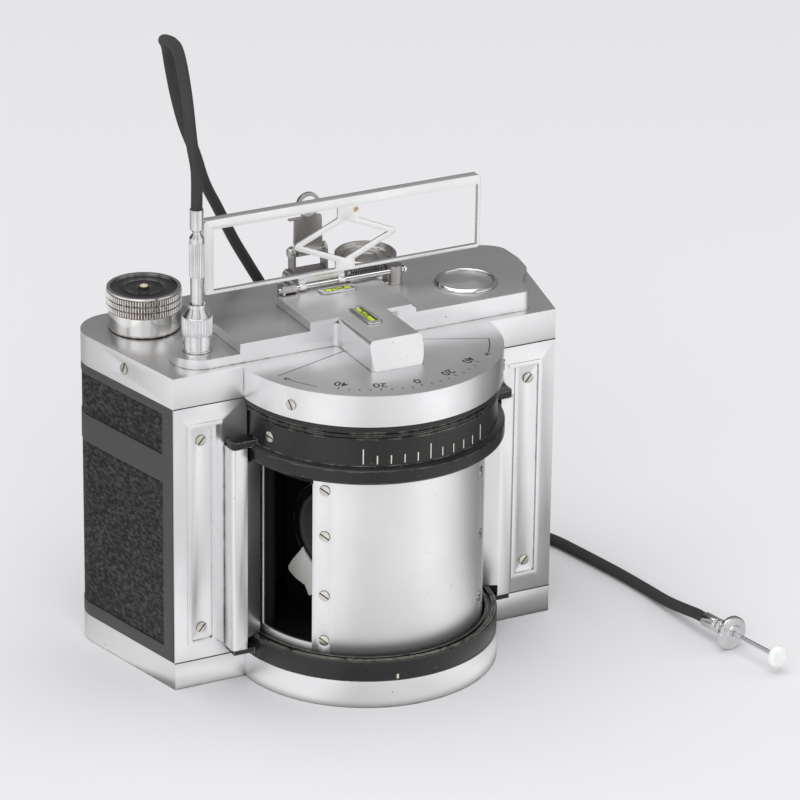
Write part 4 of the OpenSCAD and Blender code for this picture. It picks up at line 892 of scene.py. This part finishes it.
def ring_ridges():
    """Turned ridges round the two black rings."""
    lines = [arc(RING_FACE_R + 0.15, *RIDGE_ENDS, COVER_LOW - drop, 60) for drop in UPPER_RIDGES_BELOW_COVER]
    inlay("ring_ridges", lines, 0.62, "camera", ENAMEL, "black_enamel")
    top = box_of("lower_ring")[1].z
    lines = [arc(BASE_RING_R - inward, *RIDGE_ENDS, top, 60) for inward in LOWER_RIDGES_INSIDE_RIM]
    inlay("lower_ridges", lines, 0.5, "camera", WORN_ENAMEL, "black_enamel")


def joint_lines():
    """The dark joints where the covers meet the front panels."""
    front = AXIS.y - JOINT_OUT
    lines = []
    for level in (COVER_LOW, box_of("front_panel_left")[0].z):
        for side in (-1, 1):
            lines.append([(side * PANEL_NEAR, front, level), (side * PANEL_FAR, front, level)])
    inlay("joint_lines", lines, 0.36, "camera", INK, "black_enamel")


def dial_marks():
    """Twelve plain marks round the dial's face."""
    centre = middle_of("dial")
    centre.z = box_of("dial")[1].z - DIAL_DEPTH
    lines = []
    for i in range(12):
        aim = Vector((math.cos(math.radians(30 * i)), math.sin(math.radians(30 * i)), 0))
        lines.append([centre + aim * radius for radius in DIAL_RING])
    inlay("dial_marks", lines, 0.3, "dial", INK, "plated_steel", flat=PRESSED)


def knob_centre():
    """Bright boss in the middle of the winding knob's black disc."""
    place = middle_of("wind_knob")
    place.z = box_of("wind_knob")[1].z
    fit(smooth(turned("knob_centre", KNOB_BOSS, place, sides=40)), "wind", PALE_BRASS, "bare_brass")


def bracket_screw():
    """Domed screw that holds the rear sight's bracket."""
    head = turned("bracket_screw", SCREW_DOME, BRACKET_SCREW, sides=32)
    slot = bar("slot", BRACKET_SCREW + Vector((-1.8, -0.2, 0.45)), BRACKET_SCREW + Vector((1.8, 0.2, 1)))
    modify(head, "BOOLEAN", object=slot, operation="DIFFERENCE", solver="EXACT")
    bpy.data.objects.remove(slot)
    fit(smooth(head), "camera", SCREW, "plated_steel")


def level_lines():
    """Two black lines round each level's glass, and the dark outline of its bubble."""
    lines, bubbles = [], []
    for x, y, along in LEVELS:
        across = (along[1], along[0])

        def on_glass(shift, side):
            rise = math.sqrt(VIAL_R ** 2 - side ** 2)
            return (x + along[0] * shift + across[0] * side,
                    y + along[1] * shift + across[1] * side, VIAL_Z + rise)

        for shift in (-LINE_OFFSET, LINE_OFFSET):
            lines.append([on_glass(shift, VIAL_R * math.cos(math.pi * i / 10)) for i in range(11)])
        turns = [2 * math.pi * i / 24 for i in range(25)]
        bubbles.append([on_glass(BUBBLE_OFFSET - BUBBLE_LENGTH * math.cos(t), BUBBLE_WIDTH * math.sin(t))
                        for t in turns])
    inlay("level_lines", lines, 0.36, "camera", INK, "vial_glass")
    inlay("level_bubbles", bubbles, 0.3, "camera", OLIVE, "vial_glass")


housing_marks()
degree_numbers()
ring_marks()
window_edge()
ring_ridges()
joint_lines()
dial_marks()
knob_centre()
bracket_screw()
level_lines()


# The cable

CABLE_WIDTH = 4.1

# Places that the cable runs through, in millimetres, and the steps from one to the next
ROUTE = [(-59.5, 5, 174.4), (-59.5, 5, 188), (-60, 7.5, 197.5), (-58.5, 15.5, 214), (-54, 32, 223),
         (-51, 49, 220.5), (-45.5, 59, 214), (-42, 64, 204.5), (-39.5, 65, 193.5), (-36.5, 65, 182),
         (-31.5, 66.5, 170), (-27, 68, 157.5), (-20, 71.5, 145), (-13, 73.5, 131.5), (-5, 76.5, 118.5),
         (3, 80, 105.5), (9, 83, 91.5), (13.5, 86, 76.5), (18, 89, 61), (22.5, 91.5, 45),
         (28, 93.5, 29), (36, 94.5, 14.5), (46, 94, 5.5), (57, 91.5, 2.1), (68.5, 86, 2.1),
         (79.5, 78, 2.1), (89, 67.5, 2.1), (97.5, 54.5, 2.1), (104, 40.5, 2.1), (107, 28, 2.1),
         (109.5, 15.5, 2.1), (112, 2, 2.1), (114, -12, 2.1), (115, -26, 2.8), (115.4, -38.5, 4.8),
         (115.8, -46.5, 6.2), (116.4, -51.2, 6.2)]
STEPS = 6


def smooth_route(points):
    """The points of one smooth curve through the route."""
    line = []
    for i in range(len(points) - 1):
        a, b = points[max(i - 1, 0)], points[i]
        c, d = points[i + 1], points[min(i + 2, len(points) - 1)]
        for k in range(STEPS):
            t = k / STEPS
            line.append((b * 2 + (c - a) * t + (a * 2 - b * 5 + c * 4 - d) * t * t
                         + (b * 3 - a - c * 3 + d) * t ** 3) * 0.5)
    return line + [points[-1]]


def make_cable():
    """The woven cable, which stands for the frame's plain one."""
    route = smooth_route([Vector(p) * MM for p in ROUTE])
    piece = smooth(tube("woven_cable", route, CABLE_WIDTH, 5), LINE_ROUND_BELOW)
    fit(piece, "camera", BRAID, "woven_cable")
    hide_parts("cable")
    length = sum((b - a).length for a, b in zip(route, route[1:]))
    tuple(route[0])
    [tuple(p) for p in route]


make_cable()


# Floor and light

TO_CAMERA = Vector((EYE.x, EYE.y, 0)).normalized()
TO_RIGHT = Vector((-TO_CAMERA.y, TO_CAMERA.x, 0))

# What a polished surface sees round it: turn from the camera in degrees (+ to its right), brightness
FLOOR_SEEN = [(-180, 0.3), (-115, 0.4), (-72, 0.78), (-52, 0.68), (-44, 0.9), (-20, 0.92), (0, 0.62),
              (28, 0.72), (60, 0.94), (82, 0.7), (106, 0.24), (135, 0.1), (180, 0.3)]
ROOM_SEEN = [(-180, 0.16), (-155, 0.12), (-128, 0.04), (-105, 0.1), (-78, 0.7), (-58, 0.75),
             (-50, 0.15), (-42, 0.9), (-14, 0.95), (0, 0.7), (22, 0.8), (30, 0.2), (38, 0.9),
             (60, 1.0), (82, 0.8), (110, 0.24), (150, 0.2), (180, 0.2)]
CEILING_SEEN = [(-180, 0.35), (-62, 0.35), (-54, 0.04), (-40, 0.04), (-34, 0.6), (6, 0.6),
                (12, 0.04), (24, 0.04), (30, 0.6), (64, 0.5), (72, 0.1), (86, 0.1), (94, 0.35),
                (180, 0.35)]

# How steeply a direction has to point up to see some of the ceiling, and nothing else
CEILING_FROM, CEILING_FULL = 0.6, 1.0
AMBIENT = 0.62
FLOOR_SIZE = 9
BODY_FRONT = box_of("front_panel_left")[1].y
BODY_HALF_WIDTH = 78
BODY_HALF = Vector((BODY_HALF_WIDTH, (box_of("back_cover")[1].y - BODY_FRONT) / 2, 0)) * MM
BODY_MIDDLE = Vector((0, BODY_FRONT, 0)) * MM + Vector((0, BODY_HALF.y, 0))
LAMP_AIM = Vector((0, 0, 0.06))

# Name, place and size in metres, power in watts
LAMPS = [
    ("overhead", (-0.3, 0.2, 2.2), 2.4, 31.0), ("front", (-0.9, -2.2, 0.9), 1.8, 26.0),
    ("left", (-2.2, -1.2, 0.8), 1.6, 12.0), ("side", (2.2, -0.6, 0.9), 1.6, 12.0),
]


def seen_round(n, vector, levels):
    """Brightness by the direction of a vector round the vertical axis."""
    sides = [n.vector("DOT_PRODUCT", vector, aim, result="Value") for aim in (TO_RIGHT, TO_CAMERA)]
    ramp = n.new("ValToRGB")
    ramp.color_ramp.interpolation = "EASE"
    stops = ramp.color_ramp.elements
    for i, (degrees, level) in enumerate(levels):
        stop = stops[i] if i < 2 else stops.new(1.0)
        stop.position = (degrees + 180) / 360
        stop.color = (level, level, level * 1.008, 1)
    n.link(n.ramp(n.math("ARCTAN2", *sides), -math.pi, math.pi), ramp.inputs["Fac"])
    return ramp.outputs["Color"]


def contact_shade(f):
    """Strength of the floor in reflections: darker beside the camera's foot, full further out."""
    outside = f.vector("ABSOLUTE", f.vector("SUBTRACT", f.place(), BODY_MIDDLE))
    outside = f.vector("MAXIMUM", f.vector("SUBTRACT", outside, BODY_HALF), (0, 0, 0))
    body = f.vector("LENGTH", outside, result="Value")
    away = f.math("MINIMUM", body, f.math("SUBTRACT", f.out_from(AXIS), BASE_RING_R * MM))
    near = f.ramp(away, 0.0, 0.004, 0.3, 0.98)
    return f.math("ADD", near, f.ramp(away, 0.02, 0.22, 0.0, 0.16))


def by_ray(n, plain, reflected):
    """A shader that reflections see as one thing and everything else as another."""
    either = n.new("MixShader")
    n.link(n.new("LightPath").outputs["Is Glossy Ray"], either.inputs["Fac"])
    n.link(plain, either.inputs[1])
    n.link(reflected, either.inputs[2])
    return either.outputs["Shader"]


def pale_floor():
    """Plain pale floor; polished pieces see it brighter in front and darker at the sides."""
    bpy.ops.object.select_all(action="DESELECT")
    bpy.ops.mesh.primitive_plane_add(size=FLOOR_SIZE, location=(0, 0, 0))
    floor = bpy.context.object
    floor.name = "studio_floor"
    f = Finish("pale_floor")
    f.set(colour=f.mix(f.noise(0.6), (0.668, 0.662, 0.678), (0.66, 0.655, 0.67)), rough=0.9, gloss=0.1)
    colour = seen_round(f, f.place(), FLOOR_SEEN)
    seen = f.made("Emission", "Emission", color=colour, strength=contact_shade(f))
    shader = by_ray(f, f.shader.outputs["BSDF"], seen)
    f.link(shader, f.tree.nodes["Material Output"].inputs["Surface"])
    f.material.cycles.emission_sampling = "NONE"
    paint(floor, f.material)


def room():
    """The room round the floor: even for the soft light, in panels for reflections."""
    world = bpy.data.worlds.new("studio_room")
    scene.world = world
    world.use_nodes = True
    n = Nodes(world.node_tree)
    n.tree.nodes.clear()
    aim = n.new("TexCoord").outputs["Generated"]
    height = n.ramp(n.made("SeparateXYZ", "Z", vector=aim), CEILING_FROM, CEILING_FULL)
    panels = n.mix(height, seen_round(n, aim, ROOM_SEEN), seen_round(n, aim, CEILING_SEEN))
    even = n.made("Background", "Background", color=(AMBIENT, AMBIENT, AMBIENT * 1.012))
    surface = by_ray(n, even, n.made("Background", "Background", color=panels))
    n.link(surface, n.new("OutputWorld").inputs["Surface"])
    world.cycles.sampling_method = "NONE"


def lamps():
    """Large soft lamps; polished surfaces see only the one overhead."""
    for name, place, size, power in LAMPS:
        data = bpy.data.lights.new(name, "AREA")
        data.shape = "SQUARE"
        data.size = size
        data.energy = power
        lamp = bpy.data.objects.new(name, data)
        scene.collection.objects.link(lamp)
        lamp.location = place
        lamp.visible_glossy = name == "overhead"
        lamp.rotation_euler = (LAMP_AIM - Vector(place)).to_track_quat("-Z", "Y").to_euler()


pale_floor()
room()
lamps()
scene.view_settings.view_transform = "Standard"
